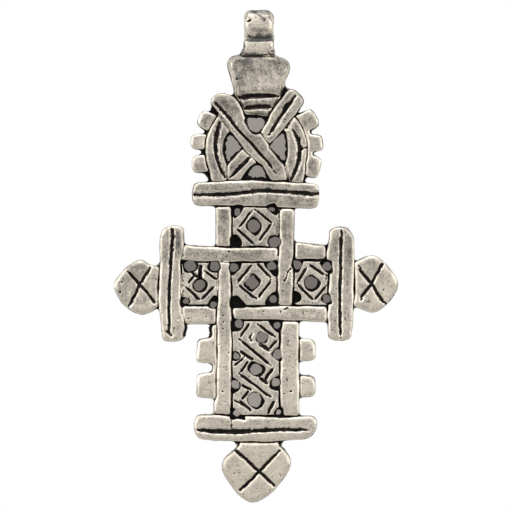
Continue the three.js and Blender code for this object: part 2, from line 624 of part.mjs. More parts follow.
lay('ring_left', [
  ...arc(wheelMiddle, wheelRadius, 132, 205, 10),
  ...at(wheelMiddle, [[-7, -wheelAboveBar], [-4.2, -wheelAboveBar]]),
  ...arc(wheelMiddle, wheelRadius - bandWidth, 214, 142, 8),
], {
  holes: windows,
  lines: engraved(wheelMiddle,
    [[[-5.8, 4.5], [-6.4, 2.9], [-6.6, 0.5], [-6.2, -1.9], [-5, -4.6]]], lineWidth),
});
lay('ring_right', [
  ...arc(wheelMiddle, wheelRadius - bandWidth, 40, -34, 8),
  ...at(wheelMiddle, [[4.2, -wheelAboveBar], [7.4, -wheelAboveBar], [7.8, -3.2]]),
  ...arc(wheelMiddle, wheelRadius, -14, 47, 10),
], {
  holes: windows,
  lines: engraved(wheelMiddle, [[[5.8, 3.3], [6.8, 1.3], [6.8, -1.6], [5.7, -4.7]]], wideLineWidth),
});

// Teeth: a rounded tab reaches out from its root, which goes a little way into what it butts on
function tooth([x, z], degrees, reach, width) {
  const angle = THREE.MathUtils.degToRad(degrees);
  const root = -1;
  const half = width / 2;
  const tab = [[root, -half], [reach, -half + 0.15], [reach, half - 0.15], [root, half]];
  const turned = tab.map(([along, across]) => [
    x + along * Math.cos(angle) - across * Math.sin(angle),
    z + along * Math.sin(angle) + across * Math.cos(angle),
  ]);
  return rounded(turned, 0.9, 3);
}

const leftRingTeeth = [['upper', 148.5, 157, 0.3], ['middle', 171, 178, 0], ['lower', 195, 183, 0.3]];
leftRingTeeth.forEach(([name, place, pointing, extra]) => {
  const root = arc(wheelMiddle, wheelRadius + seam, place, place, 1)[0];
  lay(`ring_tooth_${name}`, tooth(root, pointing, ringToothReach, ringToothWidth + extra));
});

// The right side of the wheel has its three teeth on one toothed rim
const rimTip = wheelRadius + seam + ringToothReach + 0.1;
const rimNotch = wheelRadius + seam + rimSpine;
const rimTeeth = [[-25.5, -7.8, 0], [0.8, 12.8, 0.1], [21.6, 37, 0.4]];
const rimNotches = [[-5.6, -1.2], [15.8, 20.2]];
const rimEnds = [-28, 41];
lay('ring_comb_right', rounded([
  ...arc(wheelMiddle, wheelRadius - seam, rimEnds[1], rimEnds[0], 10),
  ...rimTeeth.flatMap(([from, to, extra], index) => [
    ...arc(wheelMiddle, rimTip + extra, from, to, 2),
    ...rimNotches.slice(index, index + 1)
      .flatMap(([start, end]) => arc(wheelMiddle, rimNotch, start, end, 1)),
  ]),
], 0.7));

// The shaft: two teeth on one comb at the left, two single teeth at the right
const shaftTeeth = [2.8, -2.8];
const combFoot = lowerBottom + 2.4;
const combEdge = -postOuter - combSpine;
const combTip = combEdge - shaftToothReach + 0.2;
lay('shaft_comb_left', rounded([
  [-postOuter + 0.5, -railOuter - 0.7],
  [combEdge - 0.2, -railOuter - 0.7],
  ...[lowerMiddle + shaftTeeth[0], lowerMiddle + shaftTeeth[1]].flatMap((middle) => [
    [combEdge, middle + shaftToothWidth / 2 + 0.3],
    [combTip + 0.2, middle + shaftToothWidth / 2],
    [combTip, middle - shaftToothWidth / 2 + 0.2],
    [combEdge, middle - shaftToothWidth / 2],
  ]),
  [-postOuter - seam, combFoot],
  [-postOuter + 0.5, combFoot],
], 0.5));
[['upper', 3], ['lower', -2.8]].forEach(([name, rise]) => {
  const root = [postOuter + wideExtra + seam, lowerMiddle + rise];
  lay(`shaft_tooth_${name}`, tooth(root, 0, shaftToothReach - 0.3, shaftToothWidth - 0.2));
});

// The three lobes at the ends, each crossed by two engraved lines
lay('left_lobe', smooth(at([-barOuter, -0.4], [
  [1.2, 2.6], [-0.2, 3], [-1.6, 3.4], [-2.9, 4.1], [-4.3, 3.6], [-6, 2.1], [-7.2, 0.2], [-6.4, -1.9],
  [-4.5, -3.8], [-2.7, -4.4], [-1, -3.8], [-0.2, -3.1], [1.2, -2.6],
]), 40), {
  lines: engraved([-barOuter, -0.4], [[[-4.8, 2.5], [-0.6, -2.5]], [[-1, 3], [-4.6, -3.1]]]),
});
lay('right_lobe', smooth(at([barOuter, 0], [
  [-1.2, 2.8], [0.3, 3.3], [1.3, 3.8], [2.7, 4.4], [4.1, 4.2], [6, 2.5], [7.4, 0], [6.7, -1.8],
  [5.1, -3.6], [3.5, -4.5], [1.5, -3.9], [0.3, -3.4], [-1.2, -2.8],
]), 40), {
  lines: engraved([barOuter, 0], [[[0.8, 2.9], [5, -3]], [[4.6, 3.4], [1.1, -2.7]]]),
});
lay('foot_lobe', smooth(at([0.2, footBottom], [
  [-2.4, 1], [-2.7, -0.4], [-3.4, -1.3], [-5.1, -2.8], [-5.5, -4.3], [-4.3, -6.6], [-2.7, -8.6], [-0.9, -9.7],
  [1, -9.1], [3.2, -7.2], [5.1, -4.5], [5.4, -3.2], [4.5, -1.5], [3.5, -0.5], [3, 1],
]), 44), {
  lines: engraved([0.2, footBottom], [[[-3.1, -1.5], [2.9, -7]], [[3.7, -1.4], [-2.7, -7.8]]], lineWidth),
});

// The bail: a short tube lying across, filed round at its ends. The collar under it, and the plate
// behind the collar, are saddled to the tube, and the collar's foot flares out over the cap.
function lyingAtBail(geometry) {
  geometry.rotateZ(Math.PI / 2);
  geometry.translate(bailMiddle[0], 0, bailMiddle[1]);
  return solidFrom(geometry);
}
const saddleRadius = bailRadius + seam;
const saddle = lyingAtBail(new THREE.CylinderGeometry(saddleRadius, saddleRadius, 3 * bailLength, bailSides));
const collarFoot = capTop + seam;
const collarLeft = bailMiddle[0] - collarWidth / 2;
const collarRight = bailMiddle[0] + collarWidth / 2;
lay('bail_collar', rounded([
  [collarLeft - filletReach, collarFoot],
  [collarRight + filletReach / 2, collarFoot],
  [collarRight + filletReach / 2, collarFoot + filletToe],
  [collarRight, collarFoot + filletToe + filletReach / 2],
  [collarRight, bailMiddle[1] - bailRadius / 2],
  [collarLeft, bailMiddle[1] - bailRadius / 2],
  [collarLeft, collarFoot + filletToe + filletReach / 2],
  [collarLeft - filletReach, collarFoot + filletToe],
], 0.2), { cutters: [saddle], color: '#c2bdb1' });
const bailEnd = bailLength / 2;
const bore = bailRadius - bailWall;
const bailProfile = [
  [bore, -bailEnd],
  [bailRadius - bailRound, -bailEnd],
  [bailRadius - 0.3 * bailRound, -bailEnd + 0.3 * bailRound],
  [bailRadius, -bailEnd + bailRound],
  [bailRadius, bailEnd - bailRound],
  [bailRadius - 0.3 * bailRound, bailEnd - 0.3 * bailRound],
  [bailRadius - bailRound, bailEnd],
  [bore, bailEnd],
  [bore, -bailEnd],
].map(([x, y]) => new THREE.Vector2(x, y));
const bailLoop = lyingAtBail(new THREE.LatheGeometry(bailProfile, bailSides));
pieces.push({ name: 'bail_loop', solid: bailLoop, color: '#c2bdb1' });

// Small webs of the plate that show in the corners between the pieces laid on it
const webs = [
  at(wheelMiddle, [[-7.2, 7.5], [-5.6, 6], [-6.2, 5.4], [-7.4, 6.2]]),
  at(wheelMiddle, [[4.3, 10.4], [5.8, 9.6], [5, 8], [3.4, 7.6]]),
  at(wheelMiddle, [[-3.9, 8.6], [-3.5, 9.6], [-3, 8.4]]),
  at(wheelMiddle, [[-8.4, -3.6], [-7.3, -5.4], [-5.6, -5.4], [-6.6, -3.6]]),
  at(wheelMiddle, [[8.6, -3.6], [7.6, -5.4], [6.2, -5.4], [7, -3]]),
  at([-barOuter, -0.4], [[-0.9, 3.2], [0.4, 4], [0.4, 2.6]]),
  at([-barOuter, -0.4], [[-0.9, -3.4], [0.4, -4], [0.4, -2.6]]),
  at([barOuter, 0], [[-0.2, 3.9], [1, 3.7], [-0.2, 2.6]]),
  at([barOuter, 0], [[-0.2, -3.9], [1, -3.8], [-0.2, -2.6]]),
  at([0.2, footBottom], [[-3.9, 0.3], [-3, -1.1], [-2, 0.3]]),
  at([0.2, footBottom], [[4.5, 0.3], [3.7, -1.1], [2.6, 0.3]]),
  at([collarLeft, collarFoot], [[-0.6, -0.4], [0.4, -0.4], [0.4, 1.4], [0, 1.4]]),
];

// The ground plate carries everything else: the sum of the outlines, a rim wider, and pierced
function groundPlate() {
  const outlines = [...footprints.map((outline) => grown(outline, plateRim)), ...webs,
    oval(wheelMiddle, wheelPlateRadius, wheelPlateRadius, 44)];
  const solids = outlines.map((outline) => prism(outline, backFace, plateFront));
  let plate = solids.reduce((sum, solid) => sum.add(solid));
  [...openings, ...windowOpenings].forEach((outline) => {
    plate = plate.subtract(prism(outline, backFace + cutPast, plateFront - cutPast));
  });
  return plate.subtract(saddle);
}
pieces.unshift({ name: 'ground_plate', solid: groundPlate(), color: '#8d8a83' });

// Everything hangs from the bail's eye
const cross = new THREE.Group();
pieces.forEach(({ name, solid, color }) => {
  cross.add(meshFrom(name, solid, color, 0.42));
});
cross.position.set(-bailMiddle[0], 0, -bailMiddle[1]);

const pendant = new THREE.Group();
pendant.add(cross);

export default pendant;
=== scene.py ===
import itertools
import json
import math

import bpy
import numpy as np
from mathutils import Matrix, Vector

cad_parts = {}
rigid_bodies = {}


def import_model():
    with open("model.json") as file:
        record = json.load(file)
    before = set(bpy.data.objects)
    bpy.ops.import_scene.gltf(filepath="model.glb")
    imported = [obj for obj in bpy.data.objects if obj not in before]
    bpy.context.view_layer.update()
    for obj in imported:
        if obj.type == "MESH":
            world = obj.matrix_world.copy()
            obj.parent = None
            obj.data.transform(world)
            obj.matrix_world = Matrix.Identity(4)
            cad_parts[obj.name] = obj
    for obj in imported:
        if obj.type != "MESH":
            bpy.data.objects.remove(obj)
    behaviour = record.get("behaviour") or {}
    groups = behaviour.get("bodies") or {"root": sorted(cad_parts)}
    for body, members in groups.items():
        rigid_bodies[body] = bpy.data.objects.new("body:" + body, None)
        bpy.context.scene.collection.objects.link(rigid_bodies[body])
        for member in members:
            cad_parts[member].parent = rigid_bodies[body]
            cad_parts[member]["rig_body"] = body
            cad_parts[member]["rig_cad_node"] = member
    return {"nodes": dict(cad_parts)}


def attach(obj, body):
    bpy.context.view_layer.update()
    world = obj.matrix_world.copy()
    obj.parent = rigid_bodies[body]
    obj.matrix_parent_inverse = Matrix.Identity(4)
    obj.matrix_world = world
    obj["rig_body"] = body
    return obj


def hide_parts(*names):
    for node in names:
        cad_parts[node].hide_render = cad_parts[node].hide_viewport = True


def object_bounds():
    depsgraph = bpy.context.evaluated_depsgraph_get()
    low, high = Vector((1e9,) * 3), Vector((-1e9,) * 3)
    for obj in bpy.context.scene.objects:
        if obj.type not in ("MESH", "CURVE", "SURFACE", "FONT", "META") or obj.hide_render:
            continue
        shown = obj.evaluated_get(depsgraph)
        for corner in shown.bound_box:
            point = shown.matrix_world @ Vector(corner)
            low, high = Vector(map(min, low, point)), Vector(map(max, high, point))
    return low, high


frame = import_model()
cad_low, cad_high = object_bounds()

# The photographer's side. The cross hangs square to a long lens, a few fingers in front of a wide
# white sheet. The sheet is one-sided: it shows to the camera and in the silver, but not from behind.
mm = 0.001
cross_x = -0.5 * mm
cross_z = -41.55 * mm
pixel = 0.16 * mm
middle_column = 255.5
middle_row = 284
strip_front = -1.25 * mm
lens = 250
sensor = 36
picture = 512


def spot(column, row):
    """The place on the cross, in metres, that a pixel of the photograph shows."""
    return cross_x + (column - middle_column) * pixel, cross_z + (middle_row - row) * pixel


camera_data = bpy.data.cameras.new("camera")
camera_data.lens = lens
camera_data.sensor_width = sensor
camera = bpy.data.objects.new("camera", camera_data)
bpy.context.scene.collection.objects.link(camera)
distance = lens / sensor * picture * pixel
aim_x, aim_z = spot(picture / 2, picture / 2)
camera.location = (aim_x, strip_front - distance, aim_z)
camera.rotation_euler = (math.radians(90), 0, 0)
camera_data.clip_start = 0.01
camera_data.clip_end = 20
bpy.context.scene.camera = camera
bpy.context.scene.view_settings.view_transform = "Standard"


class Shade:
    """A socket in a material, which Python's operators work on."""

    def __init__(self, tree, socket=None):
        self.tree = tree
        self.socket = socket

    def node(self, kind, settings, inputs, output=0):
        """Adds a node, gives it its settings and inputs, and returns one of its outputs."""
        made = self.tree.nodes.new(kind)
        for name, value in settings.items():
            if name == "stops":
                for _ in value[2:]:
                    made.color_ramp.elements.new(0.5)
                for stop, (place, colour) in zip(made.color_ramp.elements, value):
                    stop.position = place
                    stop.color = colour
            else:
                setattr(made, name, value)
        for name, value in inputs.items():
            if isinstance(value, Shade):
                self.tree.links.new(value.socket, made.inputs[name])
            else:
                made.inputs[name].default_value = value
        return Shade(self.tree, made.outputs[output] if made.outputs else None)

    def math(self, operation, *values, clamp=False):
        settings = {"operation": operation, "use_clamp": clamp}
        return self.node("ShaderNodeMath", settings, dict(enumerate(values)))

    def __add__(self, other):
        return self.math("ADD", self, other)

    def __radd__(self, other):
        return self.math("ADD", other, self)

    def __sub__(self, other):
        return self.math("SUBTRACT", self, other)

    def __rsub__(self, other):
        return self.math("SUBTRACT", other, self)

    def __mul__(self, other):
        return self.math("MULTIPLY", self, other)

    def __rmul__(self, other):
        return self.math("MULTIPLY", other, self)

    def step(self, low, high):
        """0 below low, 1 above high, and a soft climb between them."""
        settings = {"interpolation_type": "SMOOTHSTEP"}
        return self.node("ShaderNodeMapRange", settings, {0: self, 1: low, 2: high, 3: 0.0, 4: 1.0})

    def colours(self, low, high):
        """The colour low where this is 0, and high where it is 1. Either may be a colour's socket."""
        return self.node("ShaderNodeMix", {"data_type": "RGBA"}, {0: self, 6: low, 7: high}, output=2)


def new_material(name):
    """An empty material, and the Shade to build it with."""
    material = bpy.data.materials.new(name)
    material.use_nodes = True
    material.node_tree.nodes.clear()
    return material, Shade(material.node_tree)


wall_gap = 75 * mm
wall_side = 0.6
card_depth = 0.1 * mm
floor_drop = 45 * mm
floor_side = 3


def seen_from_front(sheet, name, paper, shade, colour):
    """Makes a sheet a plain one-sided paper."""
    glow = shade.node("ShaderNodeEmission", {}, {"Color": colour, "Strength": 1.0})
    unseen = shade.node("ShaderNodeBsdfTransparent", {}, {})
    backside = shade.node("ShaderNodeNewGeometry", {}, {}, output="Backfacing")
    surface = shade.node("ShaderNodeMixShader", {}, {0: backside, 1: glow, 2: unseen})
    shade.node("ShaderNodeOutputMaterial", {}, {"Surface": surface})
    sheet.name = name
    sheet.data.materials.append(paper)
    sheet.visible_diffuse = False
    sheet.visible_shadow = False


bpy.ops.mesh.primitive_plane_add(size=wall_side, rotation=(math.radians(90), 0, 0))
wall = bpy.context.object
wall.location = (aim_x, cad_high.y + wall_gap, aim_z)
seen_from_front(wall, "white_wall", *new_material("white_wall"), (1.0, 1.0, 1.0, 1))

# The holes and windows show a glowing grey card of painted shade, seen through them as the backdrop
# shaded by the cross. It lies just inside the back of the cross and is smaller than it. Its painted
# shade is lighter behind the wheel and towards the foot.
card_shade_tones = [(112, 0.34), (182, 0.29), (204, 0.19), (300, 0.18), (345, 0.24), (375, 0.3), (410, 0.36)]
card_warmth = (1.0, 0.91, 0.84)
card_patches = [
    ((214, 126), (297, 182)), ((231, 103), (281, 128)),
    ((219, 205), (292, 424)), ((176, 258), (343, 312))]
card_parts = []
for first, last in card_patches:
    left, top = spot(*first)
    right, bottom = spot(*last)
    bpy.ops.mesh.primitive_plane_add(size=1, rotation=(math.radians(90), 0, 0))
    patch = bpy.context.object
    patch.scale = (right - left, top - bottom, 1)
    patch.location = ((left + right) / 2, -strip_front - card_depth, (top + bottom) / 2)
    card_parts.append(patch)
for patch in card_parts:
    patch.select_set(True)
bpy.ops.object.join()
card = bpy.context.object
bpy.ops.object.transform_apply(location=True, rotation=True, scale=True)
card_paper, shade = new_material("painted_shade_card")
place = shade.node("ShaderNodeTexCoord", {}, {}, output="Object")
height = shade.node("ShaderNodeSeparateXYZ", {}, {0: place}, output="Z")
card_rows = [row for row, tone in card_shade_tones]
card_top = spot(0, card_rows[0])[1]
card_foot = spot(0, card_rows[-1])[1]
share = shade.node("ShaderNodeMapRange", {}, {0: height, 1: card_top, 2: card_foot, 3: 0.0, 4: 1.0})
stops = []
for row, tone in card_shade_tones:
    down = (row - card_rows[0]) / (card_rows[-1] - card_rows[0])
    stops.append((down, (*[part * tone for part in card_warmth], 1)))
colour = shade.node("ShaderNodeValToRGB", {"stops": stops}, {0: share})
seen_from_front(card, "painted_shade_card", card_paper, shade, colour)

bpy.ops.mesh.primitive_plane_add(size=floor_side, location=(0, 0, cad_low.z - floor_drop))
floor = bpy.context.object
floor.name = "floor"
floor_paint, shade = new_material("floor_paint")
surface = shade.node("ShaderNodeBsdfDiffuse", {}, {"Color": (0.72, 0.71, 0.69, 1)})
shade.node("ShaderNodeOutputMaterial", {}, {"Surface": surface})
floor.data.materials.append(floor_paint)

# The light tent: fairly dark straight behind the camera, bright round it, and dark beside the cross
world = bpy.data.worlds.new("studio")
bpy.context.scene.world = world
world.use_nodes = True
world.node_tree.nodes.clear()
shade = Shade(world.node_tree)
direction = shade.node("ShaderNodeTexCoord", {}, {}, output="Generated")
towards_front = 0.5 - 0.5 * shade.node("ShaderNodeSeparateXYZ", {}, {0: direction}, output="Y")
tent = shade.node("ShaderNodeValToRGB", {"stops": [
    (0.0, (0.6, 0.6, 0.6, 1)), (0.40, (0.08, 0.08, 0.08, 1)), (0.55, (0.25, 0.25, 0.25, 1)),
    (0.72, (0.74, 0.74, 0.73, 1)), (0.9, (0.88, 0.87, 0.86, 1)), (0.97, (0.9, 0.89, 0.88, 1)),
    (0.996, (0.64, 0.64, 0.64, 1))]},
    {0: towards_front})
surface = shade.node("ShaderNodeBackground", {}, {"Color": tent, "Strength": 1.12})
shade.node("ShaderNodeOutputWorld", {}, {"Surface": surface})


# Soft lamps round the cross: their places, widths and heights in metres, their power and colours
lamps = {
    "left_box": ((-0.5, -0.4, 0.1), 0.35, 0.5, 0.8, (1, 0.98, 0.95)),
    "right_box": ((0.5, -0.4, 0.0), 0.3, 0.5, 0.5, (1, 0.97, 0.93)),
    "top_box": ((0, -0.35, 0.5), 0.5, 0.25, 0.7, (0.97, 0.98, 1)),
    "low_box": ((0, -0.45, -0.4), 0.3, 0.2, 0.4, (1, 0.95, 0.88)),
    "back_left_box": ((-0.4, 0.45, 0.1), 0.3, 0.4, 1.0, (1, 0.98, 0.95)),
    "back_right_box": ((0.4, 0.45, 0.0), 0.3, 0.4, 0.8, (1, 0.98, 0.95)),
}
cross_middle = (cad_low + cad_high) / 2
for name, (place, width, height, power, colour) in lamps.items():
    light = bpy.data.lights.new(name, "AREA")
    light.shape = "RECTANGLE"
    light.size = width
    light.size_y = height
    light.energy = power
    light.color = colour
    box = bpy.data.objects.new(name, light)
    bpy.context.scene.collection.objects.link(box)
    box.location = place
    direction = cross_middle - box.location
    box.rotation_euler = direction.to_track_quat("-Z", "Y").to_euler()

# The ground plate: the flat pierced sheet that the whole cross is laid on. It is cast white metal,
# rough and dark with patina wherever the front shows it, and scraped fairly clean on the back.
body = "root"
rng = np.random.default_rng(5)
lattice_side = 32
lattice = rng.uniform(-1, 1, (lattice_side,) * 3)
lump_height = 1.6
same_point = 0.001 * mm
hair = 0.001 * mm
plate_grain = 0.19 * mm


def lumps(points, size, shift=0.0):
    """Soft random lumps, mostly between -1 and 1, each about as wide as size."""
    place = points / size + shift
    whole = np.floor(place).astype(int)
    share = place - whole
    share = share * share * (3 - 2 * share)
    total = np.zeros(len(points))
    for corner in itertools.product((0, 1), repeat=3):
        weight = np.prod(np.where(corner, share, 1 - share), axis=1)
        x, y, z = ((whole + corner) % lattice_side).T
        total += lump_height * weight * lattice[x, y, z]
    return total


def soft_step(values, start, end):
    """0 up to start, 1 from end on, and a soft climb between them."""
    share = np.clip((values - start) / (end - start), 0, 1)
    return share * share * (3 - 2 * share)


def bare_copy(node):
    """The CAD mesh of a node, copied, its corners joined."""
    source = frame["nodes"][node]
    piece = source.copy()
    piece.data = source.data.copy()
    piece.name = node + "_worn"
    piece.parent = None
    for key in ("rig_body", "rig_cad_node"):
        del piece[key]
    piece.data.materials.clear()
    bpy.context.scene.collection.objects.link(piece)
    bpy.ops.object.select_all(action="DESELECT")
    piece.select_set(True)
    bpy.context.view_layer.objects.active = piece
    bpy.ops.object.mode_set(mode="EDIT")
    bpy.ops.mesh.select_all(action="SELECT")
    bpy.ops.mesh.remove_doubles(threshold=same_point)
    bpy.ops.object.mode_set(mode="OBJECT")
    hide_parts(node)
    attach(piece, body)
    return piece


class Skin:
    """The skin of a piece in small even faces, whose points can be pushed about."""

    def __init__(self, piece, grain):
        faces = piece.modifiers.new("even_faces", "REMESH")
        faces.mode = "VOXEL"
        faces.voxel_size = grain
        faces.use_smooth_shade = True
        bpy.context.view_layer.objects.active = piece
        bpy.ops.object.modifier_apply(modifier=faces.name)
        self.piece = piece
        self.count = len(piece.data.vertices)
        points = np.empty(3 * self.count, np.float32)
        piece.data.vertices.foreach_get("co", points)
        self.points = points.reshape(-1, 3).astype(float)
        edges = np.empty(2 * len(piece.data.edges), np.int32)
        piece.data.edges.foreach_get("vertices", edges)
        self.one, self.other = edges.reshape(-1, 2).T
        self.shares = np.bincount(edges, minlength=self.count)

    def around(self, values):
        """The mean of each point's neighbours."""
        total = np.bincount(self.one, values[self.other], self.count)
        total += np.bincount(self.other, values[self.one], self.count)
        return total / self.shares

    def eased(self, values, times):
        """The values, each drawn towards its neighbours so many times."""
        for _ in range(times):
            values = (values + self.around(values)) / 2
        return values

    def rub(self, times, weight=1.0):
        """Rubs the skin smooth, less where the weight is small."""
        for _ in range(times):
            moves = [self.around(line) - line for line in self.points.T]
            self.points += np.stack(moves, axis=1) * np.reshape(weight, (-1, 1)) / 2

    def put(self):
        """Gives the mesh its new points, none of them outside the box of the solids."""
        inside = np.clip(self.points, np.array(cad_low) + hair, np.array(cad_high) - hair)
        self.piece.data.vertices.foreach_set("co", inside.astype(np.float32).ravel())
        self.piece.data.update()

    def normals(self):
        self.put()
        normals = np.empty(3 * self.count, np.float32)
        self.piece.data.vertex_normals.foreach_get("vector", normals)
        return normals.reshape(-1, 3).astype(float)

    def mark(self, name, values):
        """Keeps a value for each point, for the material to read."""
        attribute = self.piece.data.attributes.new(name, "FLOAT", "POINT")
        attribute.data.foreach_set("value", np.asarray(values, np.float32))


plate_skin = Skin(bare_copy("ground_plate"), plate_grain)

# Where the open air beside the cross is, on a grid seen from the front: hands rub the outer edges,
# while the patina stays in the seams and holes inside
cell = 0.2 * mm
margin = 8
rubbed_cells = 3
grid_low = np.array(cad_low) - margin * cell
columns = int((cad_high.x - cad_low.x) / cell) + 2 * margin
rows = int((cad_high.z - cad_low.z) / cell) + 2 * margin


def cells_of(points):
    """The grid's cell that each point lies in, seen from the front."""
    across = ((points[:, 0] - grid_low[0]) / cell).astype(int)
    up = ((points[:, 2] - grid_low[2]) / cell).astype(int)
    return up * columns + across


def spread(cells, times):
    """The marked cells and their neighbours, so many times over."""
    for _ in range(times):
        wider = cells.copy()
        for axis in (0, 1):
            wider |= np.roll(cells, 1, axis) | np.roll(cells, -1, axis)
        cells = wider
    return cells


metal = np.zeros(rows * columns, bool)
metal[cells_of(plate_skin.points)] = True
metal = spread(metal.reshape(rows, columns), 1)
air = np.zeros_like(metal)
air[0] = True
while True:
    wider = spread(air, 1) & ~metal
    if (wider == air).all():
        break
    air = wider
outside = spread(air, rubbed_cells).astype(float)
for _ in range(2):
    outside = (outside + np.roll(outside, 1, 0) + np.roll(outside, -1, 0)
               + np.roll(outside, 1, 1) + np.roll(outside, -1, 1)) / 5
outside = outside.ravel()


def pixels_from(points, first, last):
    """How far each point is, seen from the front, from the line between two pixels."""
    start = np.array(spot(*first))
    way = np.array(spot(*last)) - start
    seen = points[:, [0, 2]] - start
    along = np.clip(seen @ way / max(way @ way, 1e-12), 0, 1)
    return np.linalg.norm(seen - along[:, None] * way, axis=1) / pixel


def pull(points, pulls):
    """Draws the points round some pixels (right, down), by so many pixels."""
    for middle, (right, down), reach in pulls:
        share = np.exp(-(pixels_from(points, middle, middle) / reach) ** 2)
        points[:, 0] += share * right * pixel
        points[:, 2] -= share * down * pixel


# The corners of the two end bars are squarer than the rest
left_bar_corners = [((180.5, 229.5), (1.8, -1.2), 3.5), ((181, 338), (1.4, 1.0), 3)]
right_bar_corners = [
    ((332, 231), (-2.4, -0.4), 4), ((330, 337.5), (-1.6, 0.8), 3.5), ((350, 337.5), (0.9, 0.8), 3)]
pull(plate_skin.points, left_bar_corners + right_bar_corners)

# Dirt has clotted on the rims of the wheel's windows and of some drilled holes. Each clot runs from
# pixel to pixel, reaches so many pixels and is so many mm thick. Below 0, it widens a hole's corner.
clots = [
    ((184.2, 326), (184.2, 335), 2.5, 0.3), ((212, 327), (211.5, 338), 2.5, 0.3),
    ((228, 131), (224, 138), 2.5, 0.22), ((223.5, 140), (224, 158), 2.5, 0.16),
    ((226, 162), (229, 165), 2.5, 0.28), ((243, 119), (245, 121), 2.5, 0.24),
    ((255, 132), (259, 132), 2.5, 0.2), ((267, 118), (268, 123), 2.5, 0.26),
    ((248, 116), (262, 116), 2.0, 0.1), ((283, 131), (286, 136), 2.5, 0.16),
    ((287.5, 140), (288, 158), 2.5, 0.16), ((282, 163), (286, 163), 2.5, 0.3),
    ((246, 174), (249, 179), 3, 0.34), ((249, 180), (262, 180), 2.5, 0.24),
    ((269, 175), (268, 180), 2.5, 0.2), ((252, 162), (262, 162), 2.0, 0.12),
    ((248, 280), (248, 280), 2.5, 0.12), ((256.5, 279.5), (256.5, 279.5), 2.5, 0.12),
    ((256, 288), (256, 288), 2.5, 0.12), ((248, 288.5), (248, 288.5), 2.5, 0.12),
    ((244.5, 284), (244.5, 284), 2, -0.15), ((253, 276.5), (253, 276.5), 2, -0.15),
    ((259.5, 283.5), (259.5, 283.5), 2, -0.12), ((252, 291.5), (252, 291.5), 2, -0.15),
    ((236, 356), (236, 356), 6, 0.13), ((236, 384.5), (236, 384.5), 6, 0.13),
    ((258, 331), (258, 331), 2, -0.08), ((269, 336), (269, 336), 2, -0.08),
    ((264.5, 345), (264.5, 345), 2, -0.08), ((254.5, 341.5), (254.5, 341.5), 2, -0.08),
    ((280, 349), (279, 360), 3, -0.2), ((272, 355), (272, 355), 2.5, -0.15),
    ((234, 410), (240, 416), 3, -0.12)]
plate_skin.rub(5)
facing = plate_skin.normals()
outer = outside[cells_of(plate_skin.points)]
burr = 0.03 + 0.1 * lumps(plate_skin.points, 1.1 * mm) + 0.09 * lumps(plate_skin.points, 0.4 * mm, 7)
filed_back = 0.05
growth = (1 - outer) * burr - filed_back * outer
clotted = np.zeros(plate_skin.count)
for first, last, reach, thick in clots:
    share = np.exp(-(pixels_from(plate_skin.points, first, last) / reach) ** 2)
    growth += thick * share * (1 + 0.8 * lumps(plate_skin.points, 0.3 * mm, 9))
    clotted = np.maximum(clotted, share * (thick > 0))
plate_skin.points[:, [0, 2]] += facing[:, [0, 2]] * (growth * mm)[:, None]
scars = 0.03 * lumps(plate_skin.points, 1.2 * mm, 3) + 0.02 * lumps(plate_skin.points, 0.5 * mm, 5)
plate_skin.points[:, 1] += facing[:, 1] * scars * mm * (facing[:, 1] < 0)
plate_skin.put()
shown = soft_step(-strip_front - plate_skin.points[:, 1], 0.1 * mm, 0.45 * mm)
plate_skin.mark("hollow", shown * (1 - 0.85 * outer * (1 - clotted)))
plate_skin.mark("worn", 0.2 * outer)
plate_skin.mark("near_edge", outer)
# The plate's outer side walls get painted shade, a dark outline round the silhouette
plate_skin.mark("smudge", 1.2 * outer * (np.abs(facing[:, 1]) < 0.6) * (1 - clotted))
